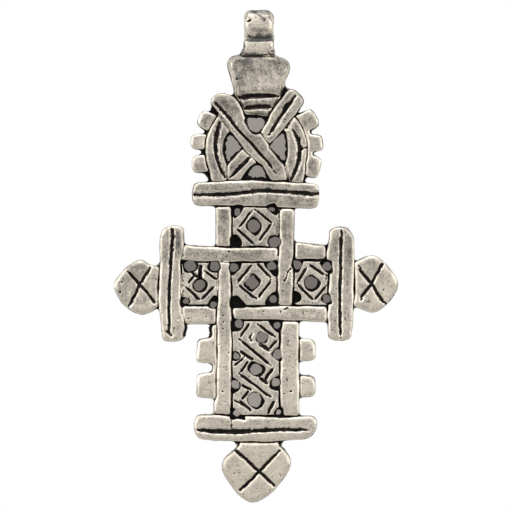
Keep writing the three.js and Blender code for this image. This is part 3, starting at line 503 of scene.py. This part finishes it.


# The metal's look, for all pieces. It is a low silver: bright where hands rub it, with painted
# highlights on its rims as well, grey with tarnish on its faces, painted darker towards the head as
# shade, and black with patina in its lines, seams and holes.
def worn_silver(name, silver, tarnish, rubbed_and_highlit, filmed=1.0, head_shade=1.0, blackened=0.75):
    """One piece's silver: its bare, tarnished and rubbed colours, the rubbed one also its painted
    highlight, and how much of the film and of the painted shade at the head it has.
    """
    brown_dirt = (0.062, 0.047, 0.036, 1)
    black_patina = (0.003, 0.0025, 0.002, 1)
    material, shade = new_material(name)
    place = shade.node("ShaderNodeTexCoord", {}, {}, output="Object")

    def marks(attribute):
        settings = {"attribute_type": "GEOMETRY", "attribute_name": attribute}
        return shade.node("ShaderNodeAttribute", settings, {}, output="Fac")

    def noise(scale, detail=3.0, rough=0.55, vector=place):
        inputs = {"Vector": vector, "Scale": scale, "Detail": detail, "Roughness": rough}
        return shade.node("ShaderNodeTexNoise", {}, inputs)

    hollow = marks("hollow")
    worn = marks("worn")
    near_edge = marks("near_edge")
    smudge = marks("smudge")
    stretched = 0.18
    strokes = shade.node("ShaderNodeCombineXYZ", {}, {0: marks("along") * stretched, 1: marks("across")})
    clouds = noise(230)
    blotches = noise(800, 4.0, 0.6)
    grit = noise(5200, 4.0, 0.65)
    smears = noise(2300, 4.0, 0.6)
    filed = noise(1500, 4.0, 0.6, strokes)
    scratches = noise(5200, 3.0, 0.6, strokes)
    specks = noise(2600, 3.0, 0.5).step(0.65, 0.72)
    pores = noise(4300, 3.0, 0.5).step(0.61, 0.68) * blotches.step(0.42, 0.6)
    height = shade.node("ShaderNodeSeparateXYZ", {}, {0: place}, output="Z")
    upper = height.step(-0.06, -0.02)
    lower = 1 - height.step(-0.08, -0.055)

    # Grey tarnish on the faces, thinner near the edges, with painted shade towards the head and painted
    # light at the foot
    film = clouds.step(0.36, 0.64) * 0.5 + blotches.step(0.38, 0.64) * 0.45
    film = film + 0.35 * filed.step(0.4, 0.64)
    film = film * (0.38 * filmed + 0.46 * head_shade * upper) + 0.22 * head_shade * upper - 0.16 * lower
    film = film + 1.3 * (smears - 0.5) + 1.2 * (grit - 0.5) + 0.9 * (scratches - 0.5)
    film = film * (0.8 - 0.5 * near_edge * near_edge) + 0.45 * smudge + 0.04
    face = film.math("MAXIMUM", film, 0.0, clamp=True).colours(silver, tarnish)
    # Bare metal on the rims, partly a painted highlight, and dirt in the hollows and the casting's
    # specks, black where it is caked
    edge = (worn - 0.8 * smudge + 0.5 * (grit - 0.5) + 1.6 * (blotches - 0.55)).step(0.28, 1.05)
    face = edge.colours(face, rubbed_and_highlit)
    dirt = (0.88 * hollow + 1.5 * (grit - 0.5) + 1.0 * (smears - 0.5)).step(0.25, 0.62)
    spots = specks.math("MAXIMUM", specks, pores) * 0.6 * (1 - edge)
    dirt = dirt.math("MAXIMUM", dirt, spots)
    colour = dirt.step(0.0, 0.55).colours(face, brown_dirt)
    caked = dirt * (blackened + 0.9 * (blotches - 0.5) + 0.7 * (grit - 0.5))
    colour = caked.step(0.4, 0.78).colours(colour, black_patina)

    roughness = 0.3 + 0.1 * film + 0.1 * grit - 0.05 * edge + 0.3 * dirt
    relief = 0.5 * grit + 0.6 * scratches + 0.3 * filed + 0.8 * blotches - 0.8 * specks - 0.5 * pores
    bump_inputs = {"Strength": 0.3, "Distance": 0.06 * mm, "Height": relief}
    bump = shade.node("ShaderNodeBump", {}, bump_inputs)
    surface = shade.node("ShaderNodeBsdfPrincipled", {}, {
        "Base Color": colour, "Metallic": 1 - 0.95 * dirt, "Roughness": roughness,
        "Specular IOR Level": 0.2, "Normal": bump})
    shade.node("ShaderNodeOutputMaterial", {}, {"Surface": surface})
    return material


plate_silver = worn_silver(
    "plate_silver", silver=(0.66, 0.61, 0.53, 1), tarnish=(0.17, 0.17, 0.165, 1),
    rubbed_and_highlit=(0.72, 0.68, 0.61, 1), blackened=1.05)
plate_skin.piece.data.materials.append(plate_silver)


# The bars over the ends of the four arms: broad flat strips with one long engraved line each. Like
# every strip they are cut from band silver, filed round at their edges and rubbed bright there, and
# their rims carry a painted highlight as well.
grain = 0.1 * mm
face_depth = 0.06 * mm
wall_depth = 0.55 * mm
rim_depths = (0.15 * mm, 0.4 * mm)
dirt_depths = (0.12 * mm, 0.36 * mm)
ridge_height = 0.02 * mm
no_flat_front = 1
strip_silver = worn_silver(
    "strip_silver", silver=(0.865, 0.79, 0.672, 1), tarnish=(0.185, 0.175, 0.163, 1),
    rubbed_and_highlit=(0.92, 0.865, 0.765, 1))


def line(reach, *turns):
    """The marks of one graver's line, about 1.3 times reach wide, through some pixels."""
    return [(first, last, reach) for first, last in zip(turns, turns[1:])]


def pit(column, row, reach=0.9):
    """The mark of a small pit at a pixel."""
    return [((column, row), (column, row), reach)]


def work(piece, front, rounds=7, crown=0.05, marks=(), smudges=(), pulls=(), bend=None, shift=0.0,
         widened=0.09, soiled=0.0):
    """Files and rubs a piece, and marks where it is dark, worn and painted with highlights, smudged and
    painted with shade, and near an edge.

    Front is the y of its flat face, or no_flat_front on a round piece. The face falls back by crown
    towards its edges, and its walls come out by widened, both in mm. Marks are pairs of pixels with
    a reach. Smudges have a strength too, below 0 where it is bright: they are stains, painted shade
    and painted highlights.
    """
    skin = Skin(piece, grain)
    points = skin.points

    # Its engraved lines, its rim, its side walls and how near to them the rest of its face is
    depth = points[:, 1] - front
    low = depth > face_depth
    wall = depth > wall_depth
    for _ in range(8):
        wall |= low & (skin.around(wall.astype(float)) > 0)
    engraved = np.clip(1.7 * skin.eased((low & ~wall).astype(float), 2), 0, 1)
    near_edge = np.clip(2 * skin.eased(low.astype(float), 70), 0, 1)
    rim = soft_step(skin.eased(low.astype(float), 3), 0.1, 0.42)
    rim = rim * (1 - soft_step(depth, *rim_depths))
    walls = skin.eased(wall.astype(float), 2)

    # It is bent to its own shape, wanders a little, and is filed round except in its lines
    if bend:
        bend(points)
    pull(points, pulls)
    for axis, start in ((0, 11.3), (2, 23.7)):
        points[:, axis] += 0.05 * mm * lumps(points, 1.8 * mm, start)
        points[:, axis] += 0.03 * mm * lumps(points, 0.7 * mm, start + shift)
    skin.rub(2)
    skin.rub(rounds - 2, 1 - engraved)
    facing = skin.normals()
    to_front = facing[:, 1] < -0.3
    outer = outside[cells_of(points)]
    ragged = 0.04 * lumps(points, 0.35 * mm, shift)
    growth = walls * (widened + 0.055 * lumps(points, 2.6 * mm, shift))
    growth -= engraved * (0.06 + ragged + 0.05 * lumps(points, 2.2 * mm, shift + 3))
    points[:, [0, 2]] += facing[:, [0, 2]] * (growth * mm)[:, None]
    points[:, 1] += crown * mm * near_edge ** 2 * (facing[:, 1] < 0.2)

    # Dirt and patina lie in its lines, on its walls and in its marks, which have worn ridges beside
    # them, painted bright as highlights too
    depth = points[:, 1] - front - crown * mm * near_edge ** 2
    sides = soft_step(depth, *dirt_depths) * (1 - 0.85 * outer) * (facing[:, 1] < 0.5)
    hollow = skin.eased(np.maximum(np.maximum(sides, soiled), engraved), 1)
    ridges_highlit = rim
    for first, last, reach in marks:
        away = pixels_from(points, first, last) + 0.4 * lumps(points, 0.35 * mm, shift)
        away += 0.3 * lumps(points, 0.9 * mm, shift)
        sunk = np.exp(-np.clip(away, 0, None) ** 2 / reach ** 2) * to_front
        points[:, 1] += (0.08 + 0.05 * reach) * mm * sunk * (1 - engraved)
        hollow = np.maximum(hollow, soft_step(sunk, 0.4, 0.9))
        beside = np.exp(-((away - 1.3 * reach - 0.6) / 0.7) ** 2) * to_front * (first != last)
        points[:, 1] -= ridge_height * beside
        ridges_highlit = np.maximum(ridges_highlit, 0.9 * beside)
    # Walls turned outward at the outer edge get painted shade, a dark outline round the silhouette
    smudge = 1.1 * outer * soft_step(facing[:, 1], -0.6, -0.2) * (facing[:, 1] < 0.5)
    for first, last, reach, strength in smudges:
        away = pixels_from(points, first, last) + 0.4 * reach * lumps(points, 0.9 * mm, shift)
        smudge += strength * np.exp(-np.clip(away, 0, None) ** 2 / reach ** 2) * (facing[:, 1] < 0)

    # Its face is a little uneven. The silver's strokes run along the piece.
    swell = 0.04 * lumps(points, 4.2 * mm, shift) + 0.02 * lumps(points, 1.7 * mm, shift)
    swell += 0.006 * lumps(points, 0.6 * mm, shift)
    points += facing * (swell * (1 - 0.7 * hollow) * mm)[:, None]
    skin.put()
    flat = points[:, [0, 2]] - points[:, [0, 2]].mean(axis=0)
    way = np.linalg.eigh(flat.T @ flat)[1][:, 1]
    skin.mark("along", points[:, [0, 2]] @ way)
    skin.mark("across", points[:, [0, 2]] @ np.array([way[1], -way[0]]))
    skin.mark("hollow", hollow)
    skin.mark("worn", ridges_highlit * (1 - hollow))
    skin.mark("near_edge", near_edge)
    skin.mark("smudge", smudge)


def strip(node, marks=(), smudges=(), **ways):
    """Makes a strip, tooth or lobe of band silver."""
    piece = bare_copy(node)
    shift = float(rng.uniform(0, lattice_side))
    work(piece, strip_front, marks=marks, smudges=smudges, shift=shift, **ways)
    piece.data.materials.append(strip_silver)


strip("neck_crossbar",
      marks=line(2.4, (194.7, 194.7), (218, 195), (236.7, 193.4), (252.2, 191.2), (267.8, 190.3),
                 (286.4, 191.9), (305, 193.9), (318.3, 193.9)) + pit(275, 189) + pit(232, 203, 0.7)
      + pit(199, 201, 0.7),
      smudges=[((196, 188), (212, 188), 3, 0.25), ((262, 198), (300, 201), 3, 0.25),
               ((255, 187), (275, 186), 3, 0.3), ((205, 201), (235, 203), 3, -0.3)])
strip("foot_crossbar",
      marks=line(1.4, (198, 430), (203, 430.2)) + line(2.5, (203, 430.2), (231.4, 431), (249.9, 430.5))
      + line(2.2, (249.9, 430.5), (265.4, 429.7), (283.9, 429), (300, 429.6))
      + line(1.3, (300, 429.6), (309, 430.2)) + pit(203, 423) + line(0.8, (231.2, 420), (231.6, 428)),
      smudges=[((248, 423), (260, 424), 3, 0.5), ((283, 423), (287, 423), 3, 0.4),
               ((231.5, 421), (231.5, 427), 1.5, 0.4), ((266, 419), (266, 429), 1.5, 0.35),
               ((246, 436), (256, 436), 2.5, 0.25), ((205, 425), (225, 425), 3, -0.1)])
strip("left_end_bar",
      marks=line(2.2, (171.9, 229.5), (172.5, 237), (171.6, 250), (170.6, 264))
      + line(1.7, (170.6, 264), (169, 288.7), (168.8, 325.6), (169.4, 333))
      + line(1.7, (167, 331.5), (171.3, 335.5)) + pit(178, 319.4) + pit(166, 326, 0.7),
      smudges=[((165, 236), (165, 262), 3, 0.35), ((178.5, 234), (178, 246), 3, 0.45),
               ((166, 275), (166, 292), 2.5, 0.25), ((176, 262), (175, 290), 3, 0.2),
               ((163, 312), (176, 330), 7, -0.35)],
      pulls=left_bar_corners)
strip("right_end_bar",
      marks=line(1.0, (341.8, 230.5), (341.7, 234))
      + line(1.9, (341.7, 234), (341.4, 239.6), (340.2, 283.8))
      + line(1.6, (340.2, 283.8), (340.2, 313.3), (340.5, 331)) + line(1.2, (340.5, 331), (340.6, 338)),
      smudges=[((335, 240), (335, 254), 4, 0.55), ((348, 242), (348, 258), 4, 0.6),
               ((348, 262), (347, 292), 2.5, 0.35), ((333, 262), (333, 300), 2.5, 0.2),
               ((334, 310), (348, 328), 6, -0.2)],
      pulls=right_bar_corners + [((327.5, 253), (-1.6, 0), 6), ((327.5, 316), (-1.2, 0), 5)])

# The long strips of the plaited border: each passes over one neighbour and butts on the next. Their
# band was cast and only lightly hammered, so their faces keep small pits and cracks.
strip("upper_right_post",
      marks=line(0.9, (290.5, 269), (287.7, 271.8), (286.3, 278.1), (284.2, 280.8)) + pit(283, 291, 0.7),
      smudges=[((286.5, 218), (286.5, 240), 3.5, 0.5), ((285, 250), (284, 300), 3, 0.15),
               ((290, 262), (290, 275), 3, -0.3)])
strip("lower_right_rail",
      marks=line(1.3, (284.8, 309.8), (287.3, 308)) + pit(280.6, 312) + pit(263.5, 311.5, 0.8)
      + pit(303, 313, 0.8) + pit(307, 312, 0.8) + pit(268, 306, 0.7),
      smudges=[((240, 309), (262, 311), 2.5, 0.2), ((289, 309), (300, 309), 3, 0.35),
               ((272, 312), (290, 313), 3, -0.25)])
strip("lower_left_post",
      marks=pit(223, 315.5, 1.0) + pit(223.8, 322.3) + pit(223, 329, 0.8) + pit(222.6, 391.6, 1.0)
      + pit(224.9, 402.4) + pit(228.3, 353, 0.7) + pit(219, 345, 0.7) + pit(226, 370, 0.7),
      smudges=[((222, 285), (223, 330), 3, 0.15), ((222, 345), (222, 400), 7, -0.4)])
strip("upper_left_rail",
      marks=pit(228.5, 252, 1.2) + pit(226, 257, 0.8) + pit(196, 257, 0.8) + pit(212, 250, 0.7),
      smudges=[((193, 254), (215, 254), 3, 0.4), ((235, 254), (258, 254), 3, 0.4),
               ((264, 257), (273, 256), 4, -0.3)],
      pulls=[((184.5, 254), (-2.6, 0), 6)])

# The short strips of the border, which fill its corners beside the long ones
strip("upper_left_post", smudges=[((224, 211), (224, 236), 3, 0.45)])
strip("upper_right_rail", smudges=[((300, 254), (322, 254), 3, 0.35)])
strip("lower_left_rail",
      marks=pit(206, 317) + pit(194, 313, 0.7) + pit(189, 319, 0.7),
      smudges=[((186, 309.5), (202, 309), 1.5, 0.6), ((190, 317), (210, 318), 4, -0.25)],
      pulls=[((184.5, 315), (-2.4, 0), 6)])
strip("lower_right_post",
      marks=pit(282.5, 334.2, 0.7) + pit(284.6, 334, 0.6) + pit(284.2, 367, 0.8) + pit(285.4, 371, 0.6)
      + pit(287, 339.4, 0.8) + pit(288.4, 341.3, 1.0) + pit(287.5, 345.5, 0.6) + pit(290.8, 391.6, 1.1)
      + pit(296, 360, 0.7) + pit(293, 328, 0.7) + pit(287, 380, 0.7) + pit(297, 402, 0.7),
      smudges=[((290, 330), (294, 400), 7, -0.35), ((284, 325), (284, 352), 2, 0.2),
               ((287, 339), (288.4, 345), 2, 0.6)])

# The panels between the strips, drilled at their corners and engraved with bands and squares. They
# lie a little lower than the strips, so less of their tarnish is rubbed off.
panel_silver = worn_silver(
    "panel_silver", silver=(0.85, 0.78, 0.67, 1), tarnish=(0.18, 0.178, 0.172, 1),
    rubbed_and_highlit=(0.92, 0.865, 0.775, 1), filmed=1.1, head_shade=0.6)
panel_drop = 0.15 * mm
panel_lines = {
    "upper_panel": [
        ((251.7, 211.3), (239.3, 227), 0.8), ((255.3, 209.7), (271, 222.3), 0.8),
        ((272, 222.7), (258.3, 242), 0.8), ((236, 228.3), (255, 245.3), 0.8)],
    "centre_panel": [
        ((252, 265), (237.7, 283.3), 0.8), ((256, 262.7), (270.3, 277), 0.8),
        ((270.7, 280), (258.7, 298), 0.8), ((239.3, 285.3), (256.3, 298.7), 0.8)],
    "left_panel": [
        ((193.8, 276.4), (187.4, 283.9), 0.7), ((204, 270.6), (218.2, 280.8), 0.7),
        ((185.4, 287.2), (199.9, 299.2), 0.8), ((215.2, 286.1), (201.8, 299.2), 0.8),
        ((200, 266.5), (200, 278), 2.6), ((192.7, 273.3), (198.2, 277.2), 1.6)],
    "right_panel": [
        ((307.1, 267.2), (297, 283), 0.8), ((308.4, 264.2), (326.8, 275.6), 0.8),
        ((326.8, 285), (315.1, 299.7), 0.8), ((297, 283.3), (312.6, 299.4), 0.8)],
    "lower_panel": [
        ((250, 323.2), (240.5, 336.4), 0.8), ((257.8, 324.5), (275, 336.8), 0.8),
        ((277.5, 340.5), (269.7, 348.7), 0.8), ((259.4, 345.4), (269.7, 351.2), 1.1),
        ((252.4, 333.3), (249.9, 337.5), 1.2), ((249.9, 337.5), (251.5, 341), 1.5),
        ((238.9, 338.8), (271.3, 366), 0.9), ((239.7, 350.4), (252.4, 360.2), 1.2),
        ((244.2, 357), (234.3, 366), 0.7), ((248.3, 361.9), (238.9, 373.6), 0.7),
        ((238.4, 373.2), (271.3, 397), 0.9), ((259.8, 377.7), (267.6, 383.9), 1.2),
        ((273.8, 368.3), (265.2, 380.2), 1.0), ((242.1, 385.1), (251.2, 390.5), 1.0),
        ((247.9, 390.5), (240.1, 400.4), 0.7), ((234.7, 400.4), (251.2, 410.6), 0.9),
        ((275.9, 400), (268, 413.5), 1.0)],
}
for panel_name, lines in panel_lines.items():
    panel = bare_copy(panel_name)
    work(panel, strip_front + panel_drop, rounds=5, crown=0.04, marks=lines, widened=-0.04)
    panel.data.materials.append(panel_silver)

# The straps of the wheel: two crossed strips, the one from the upper left laid over the other, which
# is cut where it passes under. Each has a line down its middle, cut in freehand.
strip("strap_over",
      marks=line(2.1, (215.5, 103.1), (224.8, 113), (234, 123)) + line(1.0, (268, 163), (276, 173.4)),
      smudges=[((224, 100), (232, 110), 4, 0.35), ((243, 128), (262, 150), 3, 0.4),
               ((268, 160), (280, 172), 3, 0.1)])
strip("strap_under_upper",
      marks=line(1.4, (294.8, 96.1), (289, 103)) + line(2.7, (289, 103), (285.5, 107.2), (275.5, 124))
      + line(1.4, (275.5, 124), (268.6, 135.2)) + pit(291, 110, 0.7),
      smudges=[((284, 98), (276, 112), 2.5, 0.25), ((272, 122), (266, 131), 2.5, 0.4),
               ((297, 99), (292, 108), 3, -0.4)])
strip("strap_under_lower",
      marks=line(1.7, (249.9, 157.3), (239.8, 166.7), (230.4, 176.8)),
      smudges=[((240, 157), (230, 168), 2.5, 0.3)])

# The wheel's ring, in two bows beside the straps, with a line cut round each, and the teeth that
# stand out from the ring and from the lower shaft. The fine seams round them hold dark patina.
strip("ring_left",
      marks=line(2.7, (219.5, 123), (216.4, 134), (215.7, 151))
      + line(1.7, (215.7, 151), (219.5, 165), (225, 177.5)),
      smudges=[((226, 122), (230, 128), 3, 0.45), ((210, 150), (212, 165), 3, 0.35),
               ((222, 140), (222, 152), 2, 0.2)])
strip("ring_right",
      marks=line(1.6, (292.6, 130), (296, 135))
      + line(2.6, (296, 135), (298, 138.7), (300.4, 148), (298.9, 160.4))
      + line(2.1, (298.9, 160.4), (295.8, 169.8), (291, 179.9)) + line(0.9, (300, 149.5), (307, 147.5))
      + line(2.3, (292.5, 117.5), (286.5, 127.5)),
      smudges=[((296, 125), (300, 136), 3, 0.3), ((291, 150), (290, 165), 2.5, 0.3)])
teeth = [
    "ring_tooth_upper", "ring_tooth_middle", "ring_tooth_lower", "ring_comb_right",
    "shaft_comb_left", "shaft_tooth_upper", "shaft_tooth_lower"]
for tooth in teeth:
    strip(tooth, smudges=[((202, 118), (200, 165), 12, -0.35), ((314, 118), (316, 165), 12, -0.35),
                          ((204, 345), (204, 385), 12, -0.35), ((313, 345), (313, 385), 12, -0.35)])

# The cap: a flared plate at the wheel's head with two cut lines above the top window. It has kept
# most of its tarnish and brown spots at its upper right; painted shade darkens a band under its top
# edge, and painted highlights brighten its middle and its side rims.
strip("head_cap",
      marks=line(2.4, (240, 97.3), (251.7, 95.9), (262, 95.4)) + line(1.7, (262, 95.4), (272, 95.6))
      + line(1.0, (272, 95.6), (279, 96.4)) + line(1.3, (244, 108.8), (248, 107.8))
      + line(2.0, (248, 107.8), (254, 106.6), (263.3, 106), (270, 106.6))
      + line(1.1, (270, 106.6), (273, 108)) + pit(257, 66, 1.2) + pit(236.8, 79, 1.2)
      + pit(286.5, 64, 1.1) + pit(280, 63, 0.9) + pit(283, 67, 0.8) + pit(277, 61, 0.8)
      + pit(285, 68, 0.8) + pit(259, 83, 0.8) + pit(262, 90, 0.7) + pit(240, 87, 0.7),
      smudges=[((236, 60.5), (245, 62.5), 1.8, 1.2), ((246, 62), (272, 61), 2, 0.5),
               ((274, 62), (286, 64), 3, 0.95), ((238, 70), (246, 74), 3, 0.15),
               ((250, 68), (264, 72), 5, 0.2), ((254, 84), (274, 80), 6, -0.5),
               ((240, 92), (246, 92), 3, 0.25), ((248, 102), (268, 101.5), 2.5, 0.35),
               ((246, 55.5), (261, 57.3), 1.8, 2.5), ((231, 64), (232, 73), 1.2, -0.4),
               ((232, 73), (238, 96), 1.2, -0.4), ((287, 64), (286.5, 70), 1.2, -0.4),
               ((286.5, 70), (281, 88), 1.2, -0.4)],
      crown=0.42)

# The lobes that end the arms and the foot: thin leaves of silver with a cross cut in each, and more
# of their tarnish left in the corners of the cross
strip("left_lobe",
      marks=line(1.6, (150.1, 267.8), (148.8, 270)) + line(1.5, (129.8, 304), (128.5, 306.5))
      + line(1.2, (127.6, 271.3), (129.5, 273)) + line(1.7, (153, 300), (154.7, 302.5))
      + pit(120, 292.4, 1.3) + pit(121.9, 282.3, 0.9) + pit(133, 302, 0.7) + pit(129, 291, 0.7),
      smudges=[((131, 267), (143, 266), 4, 0.45), ((136, 291), (146, 299), 2.5, 0.5),
               ((129, 278), (133, 283), 3, 0.3), ((133, 308), (147, 308), 5, -0.5),
               ((148, 280), (152, 288), 4, -0.1)],
      crown=0.12, pulls=[((141.5, 285.5), (-2.6, -2.0), 11), ((151.1, 271.5), (-1.0, -2.4), 5),
                         ((132.1, 273.4), (-2.6, -1.4), 5), ((132.7, 302.8), (-2.4, 2.0), 5),
                         ((153.3, 299.5), (0.8, 2.0), 5), ((146, 276), (-1.6, -0.3), 4),
                         ((133.6, 298), (-1.2, 0), 4)])
strip("right_lobe",
      marks=line(1.4, (358.7, 266), (360.4, 268.7)) + line(1.4, (384, 301.5), (386, 304))
      + line(1.8, (382.8, 263.9), (381.4, 266)) + line(1.5, (362.2, 298.4), (361.1, 300))
      + pit(366.5, 302.3, 0.5) + pit(368.2, 301.8, 0.5) + pit(379, 294, 0.8) + pit(389, 282.5, 0.7)
      + pit(384, 290, 0.7),
      smudges=[((363, 262), (371, 263), 3, 0.45), ((360, 282), (364, 286), 3, 0.35),
               ((368, 291), (373, 294), 3, 0.45), ((366, 302.5), (368.5, 302), 1.5, 0.9),
               ((376, 272), (380, 275), 3, 0.35), ((384, 282), (388, 290), 5, -0.3),
               ((372, 283), (372, 283), 40, -0.55)],
      crown=0.12, pulls=[((369, 283.2), (2.8, 0.6), 11), ((378.9, 266.4), (2.6, -1.6), 5),
                         ((380.7, 299.8), (2.8, 2.2), 5), ((377, 271), (1.4, 0.2), 4)])
strip("foot_lobe",
      marks=line(2.2, (236, 450.6), (242, 456.5)) + line(1.8, (269.5, 481), (274.3, 485.4))
      + line(1.5, (279.6, 450.6), (275.5, 454.6)) + line(1.8, (243.5, 486.5), (240.3, 489.7))
      + pit(237.5, 466.5, 1.1) + pit(234.5, 474, 1.0) + line(0.8, (280, 473.5), (281, 477))
      + pit(253, 463, 0.7),
      smudges=[((229, 455), (234, 464), 3, 0.4), ((272, 463), (277, 470), 3, 0.35),
               ((255, 480), (262, 488), 5, 0.15), ((250, 448), (268, 450), 4, -0.25),
               ((232, 478), (242, 484), 4, -0.2), ((257, 470), (257, 470), 40, -0.25)],
      crown=0.12)

# The bail: a band of silver turned over into a tube for the cord, on a short collar, and soldered to
# the cap. The cord has worn its middle down a little and dirt sits on top of the tube; painted shadow
# lies under the tube, and painted highlights run down its sides.
bail_silver = worn_silver(
    "bail_silver", silver=(0.87, 0.795, 0.675, 1), tarnish=(0.165, 0.168, 0.165, 1),
    rubbed_and_highlit=(0.92, 0.865, 0.77, 1), filmed=0.3, head_shade=0.1)
bail_reach = 2.4 * mm
bore_reach = 1.4 * mm
cord_wear = 0.07


def bent_band(points):
    """Flattens the tube's front, wears its middle down and rounds its upper corners."""
    radius = np.maximum(np.hypot(points[:, 1], points[:, 2]), bore_reach)
    skin_share = (radius - bore_reach) / (bail_reach - bore_reach)
    climb = np.clip(np.abs(points[:, 2]) / bail_reach, 0, 0.96)
    square = np.minimum((1 - climb ** 3) ** (1 / 3) / np.sqrt(1 - climb ** 2), 1.45) - 1
    points[:, 1] *= 1 + square * skin_share * (points[:, 1] < 0)
    reach = np.abs(points[:, 0]) / bail_reach
    at_right = points[:, 0] > 0
    start = np.where(at_right, 0.5, 0.7)
    drop = np.where(at_right, 1.05, 0.8)
    turn = np.clip((reach - start) / (1 - start), 0, 0.99)
    corner = drop * (1 - np.sqrt(1 - turn ** 2)) * soft_step(points[:, 2], 0, 1.5 * mm)
    change = (cord_wear * reach ** 2 - cord_wear - corner) * skin_share * mm
    points[:, [1, 2]] *= (1 + change / radius)[:, None]


def bail_part(piece, front, **ways):
    """Finishes a piece of the bail."""
    work(piece, front, **ways)
    piece.data.materials.append(bail_silver)


bail_part(bare_copy("bail_loop"), no_flat_front, bend=bent_band, pulls=[((243.6, 26), (0.9, 0), 13)],
          marks=line(1.0, (247.6, 22), (251, 20.4)) + line(0.7, (248, 35), (250, 36.6))
          + pit(256, 18.5, 0.7) + pit(258, 15.5, 0.6) + pit(260.5, 17.5, 0.6) + pit(262.5, 19, 0.6)
          + pit(264.3, 20.8, 0.7) + pit(263.5, 16, 0.6) + pit(269, 17.3, 0.8) + pit(255, 29, 0.6)
          + pit(258.5, 33, 0.6),
          smudges=[((252, 11), (268, 11), 2, 1.4), ((256, 13), (264, 19), 2.5, 1.5),
                   ((253, 30), (267, 30.5), 1.6, 1.3), ((250, 39), (259, 37.5), 2.5, 1.2),
                   ((259, 37.5), (270, 36.5), 2.8, 2.0), ((247.3, 23), (247.3, 35), 1.5, -0.7),
                   ((271.5, 21), (271.5, 36), 1.7, -0.7)])
bail_part(bare_copy("bail_collar"), strip_front,
          marks=pit(270.5, 48, 0.8) + pit(272, 51, 0.8) + pit(268, 52, 0.7),
          smudges=[((268, 49), (273, 52), 2.5, 0.4), ((242, 53), (244.3, 46), 2.2, 2)],
          pulls=[((243.8, 43), (0.6, 0), 4), ((276, 51), (-1.5, 0), 4), ((250, 40), (0, 1.3), 5),
                 ((259, 40), (0, 1.3), 5), ((268, 40), (0, 1.3), 5)])


def rods(name, runs, radius, front):
    """Straight rods of solder in one object, seen from the front between pairs of pixels."""
    made = []
    for first, last in runs:
        start, end = spot(*first), spot(*last)
        lean = math.atan2(end[0] - start[0], end[1] - start[1])
        middle = ((start[0] + end[0]) / 2, front + radius, (start[1] + end[1]) / 2)
        bpy.ops.mesh.primitive_cylinder_add(
            vertices=24, radius=radius, depth=math.dist(start, end), location=middle,
            rotation=(0, lean, 0))
        made.append(bpy.context.object)
    for rod in made:
        rod.select_set(True)
    bpy.ops.object.join()
    joined = bpy.context.object
    joined.name = name
    bpy.ops.object.transform_apply(location=True, rotation=True, scale=True)
    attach(joined, body)
    return joined


# The solder under the tube is darkened with painted shadow, the dark band beneath the tube
bail_solder = rods("bail_solder", [((244, 39.6), (274.4, 39.6))], radius=0.9 * mm, front=-1.2 * mm)
bail_part(bail_solder, no_flat_front,
          smudges=[((257, 39.5), (270, 39.5), 4, 2.4), ((249, 40.5), (257, 39.5), 3, 1.6)])

# The same solder closes some seams: beside the straps, under the collar, and where rails meet the left
# end bar and the posts. Thin rods fill them, filed down to just under the strips' faces.
seam_solder = rods("seam_solder", [
    ((219, 114), (230, 130)), ((226.5, 167), (228, 179)), ((285.5, 166), (289.5, 178)),
    ((182, 307), (182, 323)), ((182.6, 248), (182.6, 260)), ((219, 262), (229, 262)),
    ((278, 256), (278, 261)), ((182.4, 273), (182.4, 296)), ((218.4, 279), (218.4, 292)),
    ((277.4, 217), (277.2, 234)), ((241, 54), (275, 54))],
    radius=0.36 * mm, front=strip_front + 0.03 * mm)
work(seam_solder, no_flat_front, rounds=5, soiled=0.36, smudges=[((246, 54.5), (260, 55.5), 2, 1.5)],
     marks=pit(183, 250.5, 1.0) + pit(182, 256, 1.1) + pit(222, 262, 0.9) + pit(226, 261, 0.9)
     + line(0.6, (263, 54.4), (273, 54.2)))
seam_solder.data.materials.append(strip_silver)
